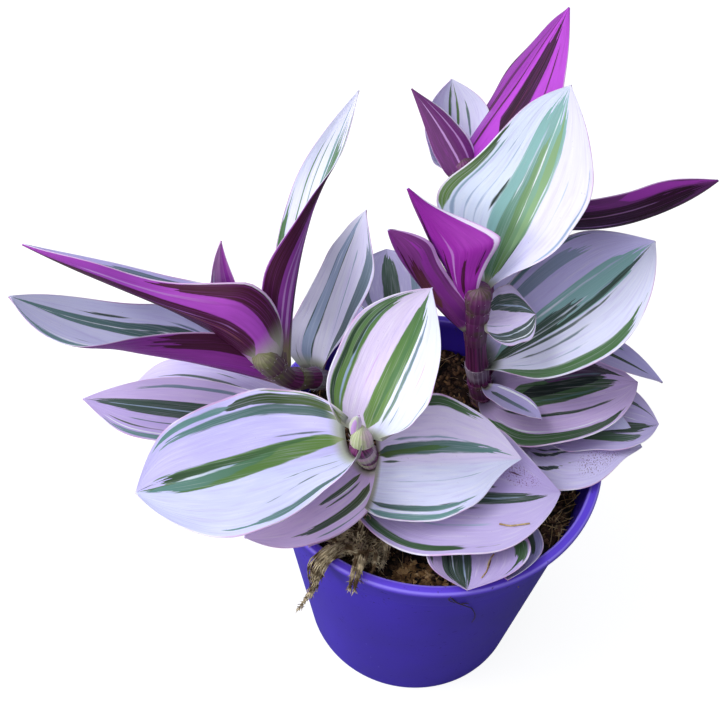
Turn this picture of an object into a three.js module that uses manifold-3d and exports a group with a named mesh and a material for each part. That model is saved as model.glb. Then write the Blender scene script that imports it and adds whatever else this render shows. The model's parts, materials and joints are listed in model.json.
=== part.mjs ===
// Potted tradescantia: striped, purple-backed leaves on fleshy stems in a violet plastic nursery pot.
// Millimetres, +Z up, pot axis on Z, pot base on Z = 0, the side with the large front leaf towards -Y.

import * as THREE from 'three';
import { mergeVertices } from 'three/addons/utils/BufferGeometryUtils.js';
import Module from 'manifold-3d';

const wasm = await Module();
wasm.setup();

// Driving dimensions of the pot
const POT_HEIGHT = 96;
const RIM_RADIUS = 52.5;
const BASE_RADIUS = 36.5;
const WALL = 1.3;
const FLOOR = 2;
const COLLAR_HEIGHT = 14;
const COLLAR_STEP = 1.2;
const LIP_WIDTH = 3.1;
const LIP_HEIGHT = 2.4;
const DRAIN_HOLES = 8;
const DRAIN_RADIUS = 3.5;
const DRAIN_CIRCLE = 27;
const DRAIN_SIDES = 12;
const BASE_ROUND = 1.5;
const EDGE_ROUND = 0.3;
const POT_SIDES = 48;

// Driving dimensions of the soil
const SOIL_TOP = 84;
const SOIL_BUMP = 1.1;
const SOIL_SIDES = 40;
const SOIL_RINGS = 7;

// Driving dimensions shared by the plant
const GAP = 0.3;
const BLADE = 0.75;
const STEM_SIDES = 8;
const STEM_STEP = 3.5;
const STEM_END = 0.06;
const NODE_SWELL = 0.1;
const NODE_LENGTH = 0.04;

// Driving dimensions of the dry roots: a squashed core on the soil and thin fibres over the rim
const ROOT_CORE = { centre: [-17.5, -37, 89.6], size: [8, 4.2, 6] };
const ROOT_SIDES = 5;
const ROOT_STEP = 4;
const ROOTS = [
  { radius: 1.3,
    path: [[-20, -38, 92], [-23, -43.5, 98], [-26.8, -47.6, 97.7], [-28, -48, 91], [-28, -47.5, 83],
      [-32.7, -49.6, 70]] },
  { radius: 0.9,
    path: [[-18, -38, 92], [-20.5, -44.5, 98.4], [-22.7, -49.3, 97.5], [-24, -49.6, 90], [-27, -49, 80]] },
  { radius: 0.65, path: [[-16, -38, 93], [-16.5, -45, 98.2], [-17.8, -51, 97.3], [-18, -51.4, 91]] },
  { radius: 0.65, path: [[-14, -37, 92], [-13.5, -46, 98.4], [-14.2, -52.2, 97.3], [-14.4, -52.6, 91.5]] },
  { radius: 0.65, path: [[-13, -37, 91], [-11, -43, 96.8], [-11.2, -48.6, 98]] },
  { radius: 0.65, path: [[-22, -36, 92], [-25, -38, 97.5], [-22, -42, 98.5]] },
  { radius: 0.65, path: [[-12, -35, 91], [-9, -36, 95], [-8.5, -40, 92], [-9.5, -42, 88.5]] },
  { radius: 0.65, path: [[-17, -35, 93], [-16, -31, 97], [-19, -29, 94], [-22, -30, 90]] },
  { radius: 0.65, path: [[-21, -38, 90], [-26, -37, 93], [-28.5, -36.5, 89]] },
  { radius: 0.65, path: [[-18, -40, 93], [-19.5, -42.5, 97.5], [-16, -44, 99], [-12.5, -41, 96]] },
];

// Stems: radius, and points from the foot in the soil to the growing tip
const STEMS = {
  stem_left: { radius: 3.1,
    path: [[-28, 26, 76], [-31, 23, 88], [-37, 12, 104], [-44, 0, 118], [-50, -4, 131]] },
  stem_front: { radius: 3.1, path: [[-12, -4, 76], [-14, -8, 88], [-17, -16, 106], [-19, -25, 124]] },
  stem_tall: { radius: 3.3,
    path: [[16, 30, 76], [14.7, 28.5, 86], [11.5, 26.5, 103], [9, 25, 124], [8.5, 23, 140]] },
  stem_top: { radius: 2.9,
    path: [[17.5, 38, 76], [16.5, 40, 90], [11, 45, 118], [3, 49, 146], [-1, 51, 163]] },
  stem_right: { radius: 2.8, path: [[26, 16, 76], [27, 15.5, 84], [30, 13, 91.5]] },
  stem_low_front: { radius: 2.6, path: [[14, -14, 76], [13, -16, 87], [12, -19, 97]] },
  stem_low_left: { radius: 2.6, path: [[-33, 4, 76], [-36, 1, 88], [-42, -4, 101]] },
  stem_back: { radius: 2.6, path: [[-14, 26, 76], [-14, 28, 92], [-15, 32, 112]] },
};

// Leaves: the stem, how far up it they grow (at), the tip, how far the middle bows away from the straight
// line to the tip (rise) and the outer third with it (droop), the width, the roll about the midrib from
// base to tip, the cupping of each half at the base, middle and tip in degrees, where the blade is widest
// along its length, how blunt the point is, the share of the width left at the base, how straight the
// edges run to the base (foot), and the way the base turns round the stem (turn)
const LEAVES = {
  leaf_left_2: { stem: 'stem_left', at: 0.7, tip: [-117, -11, 151], rise: [0, 0, -2],
    width: 31, roll: [-60, 0], cup: [110, 100, 18], widest: 0.55, point: 2.4, droop: [0, 0, -14] },
  leaf_left_3: { stem: 'stem_left', at: 0.88, tip: [-33, 52, 182], rise: [-5, -3, -1],
    width: 27, roll: [100, 40], cup: [120, 90, 20], widest: 0.35, point: 1.4, base: 0.5 },
  leaf_left_1: { stem: 'stem_left', at: 0.9, tip: [-119, 7, 153], rise: [9, 0, 4],
    width: 38, roll: [-65, -30], cup: [110, 100, 50], widest: 0.3, point: 1, base: 0.35, foot: 1.6,
    droop: [0, 0, -4] },
  leaf_left_4: { stem: 'stem_left', at: 0.98, tip: [-63, 10, 160], rise: [-4, 0, -2],
    width: 10, roll: [0, 20], cup: [110, 60, 40], widest: 0.5, point: 1.6 },
  leaf_left_5: { stem: 'stem_left', at: 0.52, tip: [-26, 28, 161], rise: [-0.5, 4, -2],
    width: 25, roll: [0, 0], cup: [110, 25, 10], widest: 0.33, point: 1.6 },
  leaf_left_6: { stem: 'stem_low_left', at: 0.97, tip: [-105, -8, 105], rise: [0, -1, 1],
    width: 23, roll: [0, 0], cup: [110, 15, 10], widest: 0.5, point: 2.2 },
  leaf_left_7: { stem: 'stem_low_left', at: 0.7, tip: [-95, 11, 92], rise: [0, 3, 7],
    width: 28, roll: [10, 10], cup: [110, 15, 10], widest: 0.5, point: 2.2 },
  leaf_front_1: { stem: 'stem_front', at: 0.91, tip: [-75, -50, 124], rise: [0, -1.5, 1.5],
    width: 47, roll: [0, 0], cup: [110, 20, 12], widest: 0.5, point: 3, base: 0.5 },
  leaf_front_2: { stem: 'stem_front', at: 0.96, tip: [-7, -2, 164], rise: [0, 5, -5],
    width: 31, roll: [0, 0], cup: [90, 45, 20], widest: 0.42, point: 2.6, base: 0.65 },
  leaf_front_3: { stem: 'stem_front', at: 0.66, tip: [26.5, -14, 112], rise: [0, -2, 2],
    width: 40, roll: [-25, -25], cup: [50, 15, 12], widest: 0.42, point: 1.6, base: 0.7, turn: -55 },
  leaf_front_4: { stem: 'stem_front', at: 0.4, tip: [39, -18, 104], rise: [0, -6, 3],
    width: 42, roll: [-10, -10], cup: [40, 15, 12], widest: 0.45, point: 2.4, base: 0.75 },
  leaf_front_5: { stem: 'stem_front', at: 0.52, tip: [-47.5, -47, 104], rise: [2, -2, 2],
    width: 28, roll: [0, 0], cup: [80, 15, 12], widest: 0.5, point: 2.4 },
  leaf_front_6: { stem: 'stem_front', at: 0.33, tip: [-29.4, -47, 104], rise: [0, 0, 2],
    width: 16, roll: [0, 0], cup: [110, 20, 12], widest: 0.5, point: 2.2 },
  leaf_front_7: { stem: 'stem_low_front', at: 0.75, tip: [15.2, -50.5, 98.5], rise: [0, 0, 1.5],
    width: 27, roll: [0, 0], cup: [80, 15, 15], widest: 0.55, point: 2.4 },
  leaf_front_8: { stem: 'stem_low_front', at: 0.55, tip: [26, -45.5, 98.5], rise: [3, 0, 0],
    width: 25, roll: [0, 0], cup: [80, 15, 15], widest: 0.5, point: 2.4 },
  leaf_front_bud: { stem: 'stem_front', at: 0.99, tip: [-20, -23, 134], rise: [0, 0, 0],
    width: 6, roll: [0, 0], cup: [120, 120, 120], widest: 0.4, point: 1.8 },
  leaf_tall_1: { stem: 'stem_tall', at: 0.72, tip: [-19, 28, 155], rise: [-1, -1, -2],
    width: 29, roll: [-40, -70], cup: [120, 80, 90], widest: 0.6, point: 2.6 },
  leaf_tall_2: { stem: 'stem_tall', at: 0.88, tip: [-15, 35, 165], rise: [1, 0, -2],
    width: 44, roll: [-45, -85], cup: [120, 60, 90], widest: 0.52, point: 1.1, base: 0.25, foot: 1.3 },
  leaf_tall_3: { stem: 'stem_tall', at: 0.97, tip: [25, 50, 194], rise: [1, 3, -3],
    width: 43, roll: [0, 0], cup: [90, 20, 12], widest: 0.45, point: 2.4, base: 0.25, foot: 2 },
  leaf_tall_curl: { stem: 'stem_tall', at: 0.8, tip: [26, 25, 129], rise: [0, -3, -4], turn: -45,
    width: 18, roll: [0, 0], cup: [40, 60, 60], widest: 0.6, point: 3, base: 0.6 },
  leaf_tall_4: { stem: 'stem_tall', at: 0.43, tip: [58, 46, 146], rise: [0, -3, 1],
    width: 43, roll: [0, 0], cup: [80, 15, 10], widest: 0.5, point: 2.8, base: 0.4, foot: 2 },
  leaf_top_1: { stem: 'stem_top', at: 0.94, tip: [23, 74, 202], rise: [0, 2, -2],
    width: 40, roll: [-165, -165], cup: [110, 40, 30], widest: 0.45, point: 1.8 },
  leaf_top_2: { stem: 'stem_top', at: 0.98, tip: [-18, 61, 179], rise: [2, 0, 0],
    width: 13, roll: [-165, -165], cup: [60, 30, 30], widest: 0.35, point: 1.5, base: 0.8 },
  leaf_top_3: { stem: 'stem_top', at: 0.9, tip: [-7, 72, 176], rise: [0, 0, -4],
    width: 22, roll: [0, 0], cup: [110, 40, 30], widest: 0.6, point: 3 },
  leaf_top_4: { stem: 'stem_top', at: 0.84, tip: [72, 55, 164], rise: [4, 0, -9],
    width: 25, roll: [50, 60], cup: [110, 60, 40], widest: 0.7, point: 3, base: 0.3 },
  leaf_right_1: { stem: 'stem_top', at: 0.38, tip: [68.1, 23.9, 109], rise: [0, 0, 3.5],
    width: 13, roll: [0, 0], cup: [110, 20, 12], widest: 0.6, point: 1.8 },
  leaf_right_2: { stem: 'stem_tall', at: 0.18, tip: [60.7, 23.6, 108], rise: [0, -6, 4],
    width: 38, roll: [-8, -8], cup: [80, 15, 12], widest: 0.5, point: 2.2 },
  leaf_right_3: { stem: 'stem_right', at: 0.75, tip: [64, 7, 97.5], rise: [0, -4, 5],
    width: 30, roll: [-8, -8], cup: [80, 6, 6], widest: 0.5, point: 2.2 },
  leaf_right_4: { stem: 'stem_right', at: 0.93, tip: [68.9, 15.5, 99], rise: [0, 0, 4],
    width: 27, roll: [0, 0], cup: [80, 8, 8], widest: 0.5, point: 3 },
  leaf_right_5: { stem: 'stem_tall', at: 0.3, tip: [31.8, 3.9, 109], rise: [0, -1, 1],
    width: 9, roll: [0, 0], cup: [80, 20, 12], widest: 0.5, point: 2.2 },
  leaf_back_1: { stem: 'stem_back', at: 0.9, tip: [-22, 60, 116], rise: [0, 0, 0],
    width: 26, roll: [0, 0], cup: [80, 20, 12], widest: 0.5, point: 2.6 },
  leaf_back_2: { stem: 'stem_back', at: 0.6, tip: [-40, 70, 78], rise: [0, 2, 9],
    width: 27, roll: [0, 0], cup: [80, 20, 12], widest: 0.5, point: 2.4 },
  leaf_back_3: { stem: 'stem_top', at: 0.3, tip: [14, 90, 76], rise: [0, 2, 12],
    width: 26, roll: [0, 0], cup: [80, 20, 12], widest: 0.5, point: 2.4 },
  leaf_back_4: { stem: 'stem_top', at: 0.34, tip: [50, 76, 84], rise: [0, 2, 9],
    width: 30, roll: [0, 0], cup: [80, 20, 12], widest: 0.5, point: 2.4 },
  leaf_back_5: { stem: 'stem_top', at: 0.62, tip: [12, 96, 128], rise: [0, 0, 5],
    width: 26, roll: [0, 0], cup: [80, 20, 12], widest: 0.5, point: 2.4 },
};
const SMALL_LEAF = 18;
const LARGE_GRID = [9, 6];
const SMALL_GRID = [8, 4];
const TIP_HALF_WIDTH = 0.4;
const SHEATH_END = 0.28;
const BASE_SHARE = 0.38;
const KEEL = 6;

// Colours of the plain CAD view
const PAINT = {
  pot: material('#4b37be', 0.45),
  soil: material('#2a1d14', 1),
  stem: material('#5b2450', 0.5),
  leaf: material('#c3b4dc', 0.5),
  dry_roots: material('#7a6248', 1),
};

function material(color, roughness) {
  return new THREE.MeshStandardMaterial({ color, roughness, metalness: 0 });
}

// A closed geometry from points and triangles
function geometry(points, triangles) {
  const made = new THREE.BufferGeometry();
  made.setAttribute('position', new THREE.Float32BufferAttribute(points.flatMap((p) => [p.x, p.y, p.z]), 3));
  made.setIndex(triangles.flat());
  return made;
}

// Geometry to solid and back, for the cuts
function solid(shape) {
  const bare = shape.clone();
  bare.deleteAttribute('normal');
  bare.deleteAttribute('uv');
  const merged = mergeVertices(bare, 1e-4);
  return new wasm.Manifold(new wasm.Mesh({
    numProp: 3,
    vertProperties: new Float32Array(merged.attributes.position.array),
    triVerts: new Uint32Array(merged.index.array),
  }));
}

function largest(body) {
  return body.decompose().reduce((best, piece) => (piece.volume() > best.volume() ? piece : best));
}

function toGeometry(body) {
  const mesh = body.getMesh();
  const made = new THREE.BufferGeometry();
  made.setAttribute('position', new THREE.BufferAttribute(mesh.vertProperties.slice(), 3));
  made.setIndex(new THREE.BufferAttribute(mesh.triVerts.slice(), 1));
  return made;
}

// Pot: one lathe profile, with drain holes cut round the flat middle of the base
function wallRadius(z) {
  return THREE.MathUtils.lerp(BASE_RADIUS, RIM_RADIUS - LIP_WIDTH / 2 - COLLAR_STEP, z / POT_HEIGHT);
}

function potGeometry() {
  const collar = POT_HEIGHT - COLLAR_HEIGHT;
  const top = RIM_RADIUS - LIP_WIDTH / 2;
  const lipBottom = POT_HEIGHT - LIP_HEIGHT;
  const profile = [
    [0, 0],
    [BASE_RADIUS - BASE_ROUND, 0],
    [BASE_RADIUS, BASE_ROUND],
    [wallRadius(collar), collar],
    [wallRadius(collar) + COLLAR_STEP, collar + 1],
    [top - EDGE_ROUND, lipBottom],
    [RIM_RADIUS - EDGE_ROUND, lipBottom + EDGE_ROUND],
    [RIM_RADIUS, (lipBottom + POT_HEIGHT) / 2],
    [RIM_RADIUS - 2 * EDGE_ROUND, POT_HEIGHT - EDGE_ROUND],
    [top, POT_HEIGHT],
    [RIM_RADIUS - LIP_WIDTH, POT_HEIGHT - 2 * EDGE_ROUND],
    [top - 1.4 * WALL, lipBottom],
    [wallRadius(collar) - WALL + COLLAR_STEP / 2, collar + 1],
    [wallRadius(collar) - WALL, collar - 1],
    [wallRadius(FLOOR) - WALL, FLOOR],
    [0, FLOOR],
  ].map(([r, z]) => new THREE.Vector2(r, z));
  const lathe = new THREE.LatheGeometry(profile, POT_SIDES);
  lathe.rotateX(Math.PI / 2);
  let body = solid(lathe);
  for (let i = 0; i < DRAIN_HOLES; i += 1) {
    const angle = (2 * Math.PI * (i + 0.5)) / DRAIN_HOLES;
    const hole = new THREE.CylinderGeometry(DRAIN_RADIUS, DRAIN_RADIUS, 4 * FLOOR, DRAIN_SIDES);
    hole.rotateX(Math.PI / 2);
    hole.translate(DRAIN_CIRCLE * Math.cos(angle), DRAIN_CIRCLE * Math.sin(angle), 0);
    body = body.subtract(solid(hole));
  }
  return toGeometry(body);
}

// Soil: a plug that follows the pot's inner wall, with a bumpy top by formula
function soilHeight(x, y) {
  return SOIL_TOP + SOIL_BUMP * (Math.sin(0.31 * x + 0.7) * Math.cos(0.27 * y - 0.4)
    + 0.5 * Math.sin(0.63 * x - 0.41 * y + 1.9));
}

function soilGeometry() {
  const points = [new THREE.Vector3(0, 0, soilHeight(0, 0))];
  const triangles = [];
  const outer = wallRadius(SOIL_TOP) - WALL - GAP;
  const bottom = wallRadius(FLOOR) - WALL - GAP;
  const ring = (radius, height) => {
    for (let i = 0; i < SOIL_SIDES; i += 1) {
      const angle = (2 * Math.PI * i) / SOIL_SIDES;
      const x = radius * Math.cos(angle);
      const y = radius * Math.sin(angle);
      points.push(new THREE.Vector3(x, y, height(x, y)));
    }
  };
  for (let k = 1; k <= SOIL_RINGS; k += 1) ring((outer * k) / SOIL_RINGS, soilHeight);
  ring(bottom, () => FLOOR + GAP);
  points.push(new THREE.Vector3(0, 0, FLOOR + GAP));
  const last = points.length - 1;
  for (let i = 0; i < SOIL_SIDES; i += 1) {
    const next = (i + 1) % SOIL_SIDES;
    triangles.push([0, 1 + i, 1 + next]);
    for (let k = 0; k < SOIL_RINGS; k += 1) {
      const a = 1 + k * SOIL_SIDES;
      const b = a + SOIL_SIDES;
      triangles.push([a + i, b + i, b + next], [a + i, b + next, a + next]);
    }
    triangles.push([last, last - SOIL_SIDES + next, last - SOIL_SIDES + i]);
  }
  return geometry(points, triangles);
}

// Stems: closed round tubes along a smooth path, a little thicker at the nodes where leaves grow
function stemCurve(name) {
  return new THREE.CatmullRomCurve3(STEMS[name].path.map((p) => new THREE.Vector3(...p)));
}

function tube(curve, radiusAt, sides, step) {
  const steps = Math.max(3, Math.round(curve.getLength() / step));
  const frames = curve.computeFrenetFrames(steps, false);
  const points = [];
  const triangles = [];
  for (let k = 0; k <= steps; k += 1) {
    const centre = curve.getPointAt(k / steps);
    const radius = radiusAt(k / steps);
    for (let i = 0; i < sides; i += 1) {
      const angle = (2 * Math.PI * i) / sides;
      points.push(centre.clone()
        .addScaledVector(frames.normals[k], radius * Math.cos(angle))
        .addScaledVector(frames.binormals[k], radius * Math.sin(angle)));
    }
  }
  points.push(curve.getPointAt(0), curve.getPointAt(1));
  const first = points.length - 2;
  for (let i = 0; i < sides; i += 1) {
    const next = (i + 1) % sides;
    for (let k = 0; k < steps; k += 1) {
      const a = k * sides;
      const b = a + sides;
      triangles.push([a + i, a + next, b + next], [a + i, b + next, b + i]);
    }
    triangles.push([first, next, i], [first + 1, steps * sides + i, steps * sides + next]);
  }
  return geometry(points, triangles);
}

function stemRadius(name, share) {
  const nodes = Object.values(LEAVES).filter((leaf) => leaf.stem === name).map((leaf) => leaf.at);
  const swell = nodes.reduce((sum, at) => Math.max(sum, Math.exp(-(((share - at) / NODE_LENGTH) ** 2))), 0);
  const end = Math.max(0, share - 1 + STEM_END) / STEM_END;
  const taper = Math.sqrt(1 - 0.85 * end ** 2);
  return STEMS[name].radius * (1 + NODE_SWELL * swell) * taper;
}

function stemGeometry(name, extra) {
  return tube(stemCurve(name), (share) => stemRadius(name, share) + extra, STEM_SIDES, STEM_STEP);
}

// Leaf blade: midrib on a curve, width by a profile, cross-section cupped by an arc on each side
function bladeWidth(leaf, s) {
  const widest = leaf.widest;
  const share = s < widest
    ? 1 - (1 - (leaf.base ?? BASE_SHARE)) * (1 - s / widest) ** (leaf.foot ?? 3)
    : 1 - ((s - widest) / (1 - widest)) ** leaf.point;
  return Math.max(TIP_HALF_WIDTH, (leaf.width / 2) * share);
}

function cupAngle(leaf, s) {
  const [base, middle, tip] = leaf.cup;
  const settled = THREE.MathUtils.lerp(middle, tip, Math.max(0, (s - SHEATH_END) / (1 - SHEATH_END)));
  const wrap = Math.max(0, 1 - s / SHEATH_END) ** 2;
  return settled + (base - middle) * wrap;
}

function midrib(leaf, start) {
  const tip = new THREE.Vector3(...leaf.tip);
  const bow = new THREE.Vector3(...leaf.rise);
  const inner = start.clone().lerp(tip, 1 / 3).addScaledVector(bow, 4 / 3);
  const outer = start.clone().lerp(tip, 2 / 3).addScaledVector(bow, 4 / 3);
  outer.add(new THREE.Vector3(...(leaf.droop ?? [0, 0, 0])));
  return new THREE.CubicBezierCurve3(start, inner, outer, tip);
}

function bladeFrame(leaf, curve, s) {
  const chord = curve.v3.clone().sub(curve.v0);
  const along = curve.getTangent(s);
  const level = new THREE.Vector3(chord.y, -chord.x, 0).normalize();
  const up = level.clone().cross(along).normalize();
  const across = along.clone().cross(up).normalize();
  const roll = THREE.MathUtils.degToRad(THREE.MathUtils.lerp(leaf.roll[0], leaf.roll[1], s));
  const side = across.clone().multiplyScalar(Math.cos(roll)).addScaledVector(up, Math.sin(roll));
  const normal = up.clone().multiplyScalar(Math.cos(roll)).addScaledVector(across, -Math.sin(roll));
  return { along, side, normal };
}

function leafCurve(leaf) {
  const axis = stemCurve(leaf.stem).getPointAt(leaf.at);
  const { along, normal } = bladeFrame(leaf, midrib(leaf, axis), 0);
  const outward = along.sub(normal).setZ(0).normalize();
  outward.applyAxisAngle(new THREE.Vector3(0, 0, 1), THREE.MathUtils.degToRad(leaf.turn ?? 0));
  return midrib(leaf, axis.addScaledVector(outward, stemRadius(leaf.stem, leaf.at) + GAP));
}

function bladePoint(leaf, curve, s, v, lift, wider) {
  const { side, normal } = bladeFrame(leaf, curve, s);
  const keel = THREE.MathUtils.degToRad(KEEL);
  const cup = THREE.MathUtils.degToRad(Math.max(0.5, cupAngle(leaf, s)));
  const half = bladeWidth(leaf, s) + wider;
  const reach = Math.abs(v);
  const turn = keel + cup * reach;
  const out = (half * (Math.sin(turn) - Math.sin(keel))) / cup;
  const rise = (half * (Math.cos(keel) - Math.cos(turn))) / cup;
  const hand = Math.sign(v);
  const tilt = v === 0 ? 0 : turn;
  return curve.getPoint(s)
    .addScaledVector(side, hand * (out - lift * Math.sin(tilt)))
    .addScaledVector(normal, rise + lift * Math.cos(tilt));
}

function bladeGeometry(leaf, above, below, wider) {
  const [steps, strips] = leaf.width > SMALL_LEAF ? LARGE_GRID : SMALL_GRID;
  const curve = leafCurve(leaf);
  const points = [];
  const triangles = [];
  for (const lift of [above, below]) {
    for (let i = 0; i <= steps; i += 1) {
      for (let j = 0; j <= strips; j += 1) {
        points.push(bladePoint(leaf, curve, i / steps, (2 * j) / strips - 1, lift, wider));
      }
    }
  }
  const row = strips + 1;
  const face = row * (steps + 1);
  const quad = (a, b, c, d) => triangles.push([a, b, c], [a, c, d]);
  for (let i = 0; i < steps; i += 1) {
    for (let j = 0; j < strips; j += 1) {
      const a = i * row + j;
      quad(a, a + 1, a + row + 1, a + row);
      const b = face + a;
      triangles.push([b, b + row + 1, b + 1], [b, b + row, b + row + 1]);
    }
    const left = i * row;
    const right = left + strips;
    quad(left, left + row, face + left + row, face + left);
    quad(right, face + right, face + right + row, right + row);
  }
  for (let j = 0; j < strips; j += 1) {
    const end = steps * row + j;
    quad(j, face + j, face + j + 1, j + 1);
    quad(end, end + 1, face + end + 1, face + end);
  }
  return geometry(points, triangles);
}

// Dry roots: a lumpy core and its fibres, joined into one body
function rootGeometry() {
  const lump = new THREE.IcosahedronGeometry(1, 2);
  lump.scale(...ROOT_CORE.size);
  lump.translate(...ROOT_CORE.centre);
  let body = solid(lump);
  for (const root of ROOTS) {
    const curve = new THREE.CatmullRomCurve3(root.path.map((p) => new THREE.Vector3(...p)));
    const taper = (share) => root.radius * (1 - 0.65 * share ** 2);
    body = body.add(solid(tube(curve, taper, ROOT_SIDES, ROOT_STEP)));
  }
  return toGeometry(largest(body));
}

// Assemble: every sub-part is one named mesh
const plant = new THREE.Group();

function add(name, shape, paint) {
  const mesh = new THREE.Mesh(shape, paint);
  mesh.name = name;
  plant.add(mesh);
}

add('pot', potGeometry(), PAINT.pot);

let soil = solid(soilGeometry());
const stemClearance = {};
for (const name of Object.keys(STEMS)) {
  stemClearance[name] = solid(stemGeometry(name, GAP));
  soil = soil.subtract(stemClearance[name]);
}
add('soil', toGeometry(largest(soil)), PAINT.soil);

add('dry_roots', rootGeometry(), PAINT.dry_roots);
for (const name of Object.keys(STEMS)) add(name, stemGeometry(name, 0), PAINT.stem);

const leafClearance = [];
for (const [name, leaf] of Object.entries(LEAVES)) {
  let blade = solid(bladeGeometry(leaf, 0, -BLADE, 0));
  blade = blade.subtract(stemClearance[leaf.stem]);
  for (const near of leafClearance) {
    if (near.stem === leaf.stem) blade = blade.subtract(near.body);
  }
  leafClearance.push({ stem: leaf.stem, body: solid(bladeGeometry(leaf, GAP, -BLADE - GAP, GAP)) });
  add(name, toGeometry(largest(blade)), PAINT.leaf);
}

export default plant;
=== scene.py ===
# %% [markdown]
# # A potted tradescantia
# The plant is a striped tradescantia: lilac, white and green on top of each leaf, magenta and plum below.
# It fills a violet nursery pot of about 105 mm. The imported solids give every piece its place. This
# lesson dresses them: fine blades with painted stripes, ribbed stems, peat crumbs, dry roots and a
# moulded plastic pot.

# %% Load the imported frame
import math
import random

import bpy
import numpy as np
from mathutils import Matrix, Vector, noise
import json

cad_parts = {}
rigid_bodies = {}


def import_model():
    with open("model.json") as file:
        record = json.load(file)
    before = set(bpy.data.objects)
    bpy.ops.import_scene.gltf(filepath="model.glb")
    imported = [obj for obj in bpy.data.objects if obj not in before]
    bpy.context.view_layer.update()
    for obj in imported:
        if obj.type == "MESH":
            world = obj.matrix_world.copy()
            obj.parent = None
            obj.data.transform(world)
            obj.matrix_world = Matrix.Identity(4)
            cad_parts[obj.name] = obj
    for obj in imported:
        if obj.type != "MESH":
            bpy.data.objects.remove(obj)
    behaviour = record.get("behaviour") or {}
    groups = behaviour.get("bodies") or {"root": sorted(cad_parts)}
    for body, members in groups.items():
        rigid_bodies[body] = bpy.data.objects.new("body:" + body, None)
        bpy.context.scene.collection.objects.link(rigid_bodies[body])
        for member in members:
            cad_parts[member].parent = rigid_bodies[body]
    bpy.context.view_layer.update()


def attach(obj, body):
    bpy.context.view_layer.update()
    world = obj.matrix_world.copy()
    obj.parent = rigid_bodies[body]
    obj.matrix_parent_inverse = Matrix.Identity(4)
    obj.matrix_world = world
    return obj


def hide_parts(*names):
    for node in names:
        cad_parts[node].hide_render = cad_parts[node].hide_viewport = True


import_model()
MM = 0.001
BODY = "root"


def in_scene(name, data):
    """A new object in the scene that holds a mesh, a lamp or a camera."""
    made = bpy.data.objects.new(name, data)
    bpy.context.scene.collection.objects.link(made)
    return made


# %% [markdown]
# ## The camera
# The photo looks down on the plant from the front at about 53 degrees, close enough that the pot
# narrows strongly towards its base. A camera could be placed by eye, but here it is aimed at the centre
# of the pot's rim, then panned, tilted and rolled, because each of these numbers has one plain meaning.

# %% Camera
AIM = Vector((0, 0, 96 * MM))
CAMERA_DISTANCE = 352 * MM
LOOK_DOWN = math.radians(53.5)
PAN = math.radians(3.98)
TILT = math.radians(3.53)
ROLL = math.radians(-7.5)
LENS = 57.5

towards = Vector((0, -math.cos(LOOK_DOWN), math.sin(LOOK_DOWN)))
forward, right = -towards, Vector((1, 0, 0))
up = right.cross(forward)
pan = Matrix.Rotation(PAN, 3, up)
forward, right = pan @ forward, pan @ right
tilt = Matrix.Rotation(TILT, 3, right)
forward, up = tilt @ forward, tilt @ up
roll = Matrix.Rotation(ROLL, 3, forward)
right, up = roll @ right, roll @ up

camera = in_scene("camera", bpy.data.cameras.new("camera"))
camera.data.lens = LENS
turned = Matrix((right, up, -forward)).transposed().to_4x4()
camera.matrix_world = Matrix.Translation(AIM + towards * CAMERA_DISTANCE) @ turned
bpy.context.scene.camera = camera
print("camera at", tuple(round(x, 4) for x in camera.location))

# %% [markdown]
# ## Helpers for node trees
# Every finish below is a small tree of nodes. A few helpers keep those trees readable: they add a node
# with its inputs, do sums, mix colours, and make the noise and the fine relief that most finishes have.

# %% Node helpers
def feed(tree, node, inputs):
    """Sets a node's inputs. Each is a number or colour, or another node's output, which is linked."""
    for name, value in inputs.items():
        if isinstance(value, bpy.types.NodeSocket):
            tree.links.new(value, node.inputs[name])
        else:
            node.inputs[name].default_value = value


def add(tree, kind, inputs=None, **settings):
    """Adds a node with its settings and its inputs."""
    made = tree.nodes.new(kind)
    for name, value in settings.items():
        setattr(made, name, value)
    feed(tree, made, inputs or {})
    return made


def sums(tree, operation, a, b=0.0, c=0.0, clamp=False):
    """One Math node's output."""
    return add(tree, "ShaderNodeMath", {0: a, 1: b, 2: c}, operation=operation, use_clamp=clamp).outputs[0]


def times(tree, a, b):
    """The product of two values."""
    return sums(tree, "MULTIPLY", a, b)


def blend_colours(tree, share, a, b):
    """Colour a turned towards colour b by a share."""
    return add(tree, "ShaderNodeMix", {0: share, 6: a, 7: b}, data_type="RGBA").outputs[2]


def tinted(tree, colour, tint, mask, most):
    """A colour turned towards a tint: not at all where the mask is 0, by the share `most` where it is 1."""
    return blend_colours(tree, times(tree, mask, most), colour, tint)


def ramp(tree, value, low, high):
    """0 below low, 1 above high and smooth between."""
    return add(tree, "ShaderNodeMapRange", {"Value": value, "From Min": low, "From Max": high},
               interpolation_type="SMOOTHSTEP").outputs[0]


def own_place(tree):
    """Each point's place on its own object."""
    return add(tree, "ShaderNodeTexCoord").outputs["Object"]


def split(tree, vector):
    """The three numbers of a vector."""
    return add(tree, "ShaderNodeSeparateXYZ", {0: vector}).outputs


def clouds(tree, place, scale, detail=2.0, roughness=0.5):
    """Noise between 0 and 1 that changes with the place."""
    return add(tree, "ShaderNodeTexNoise", {"Vector": place, "Scale": scale, "Detail": detail,
                                            "Roughness": roughness}).outputs[0]


def bump(tree, height, strength, depth):
    """Fine relief for the Normal input of a finish, with its depth in metres."""
    return add(tree, "ShaderNodeBump", {"Height": height, "Strength": strength, "Distance": depth}).outputs[0]


def paint(code):
    """A screen colour such as #4b37be as the linear colour that shaders use."""
    values = [int(code[i:i + 2], 16) / 255 for i in (1, 3, 5)]
    linear = [v / 12.92 if v <= 0.04045 else ((v + 0.055) / 1.055) ** 2.4 for v in values]
    return (*linear, 1)


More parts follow.
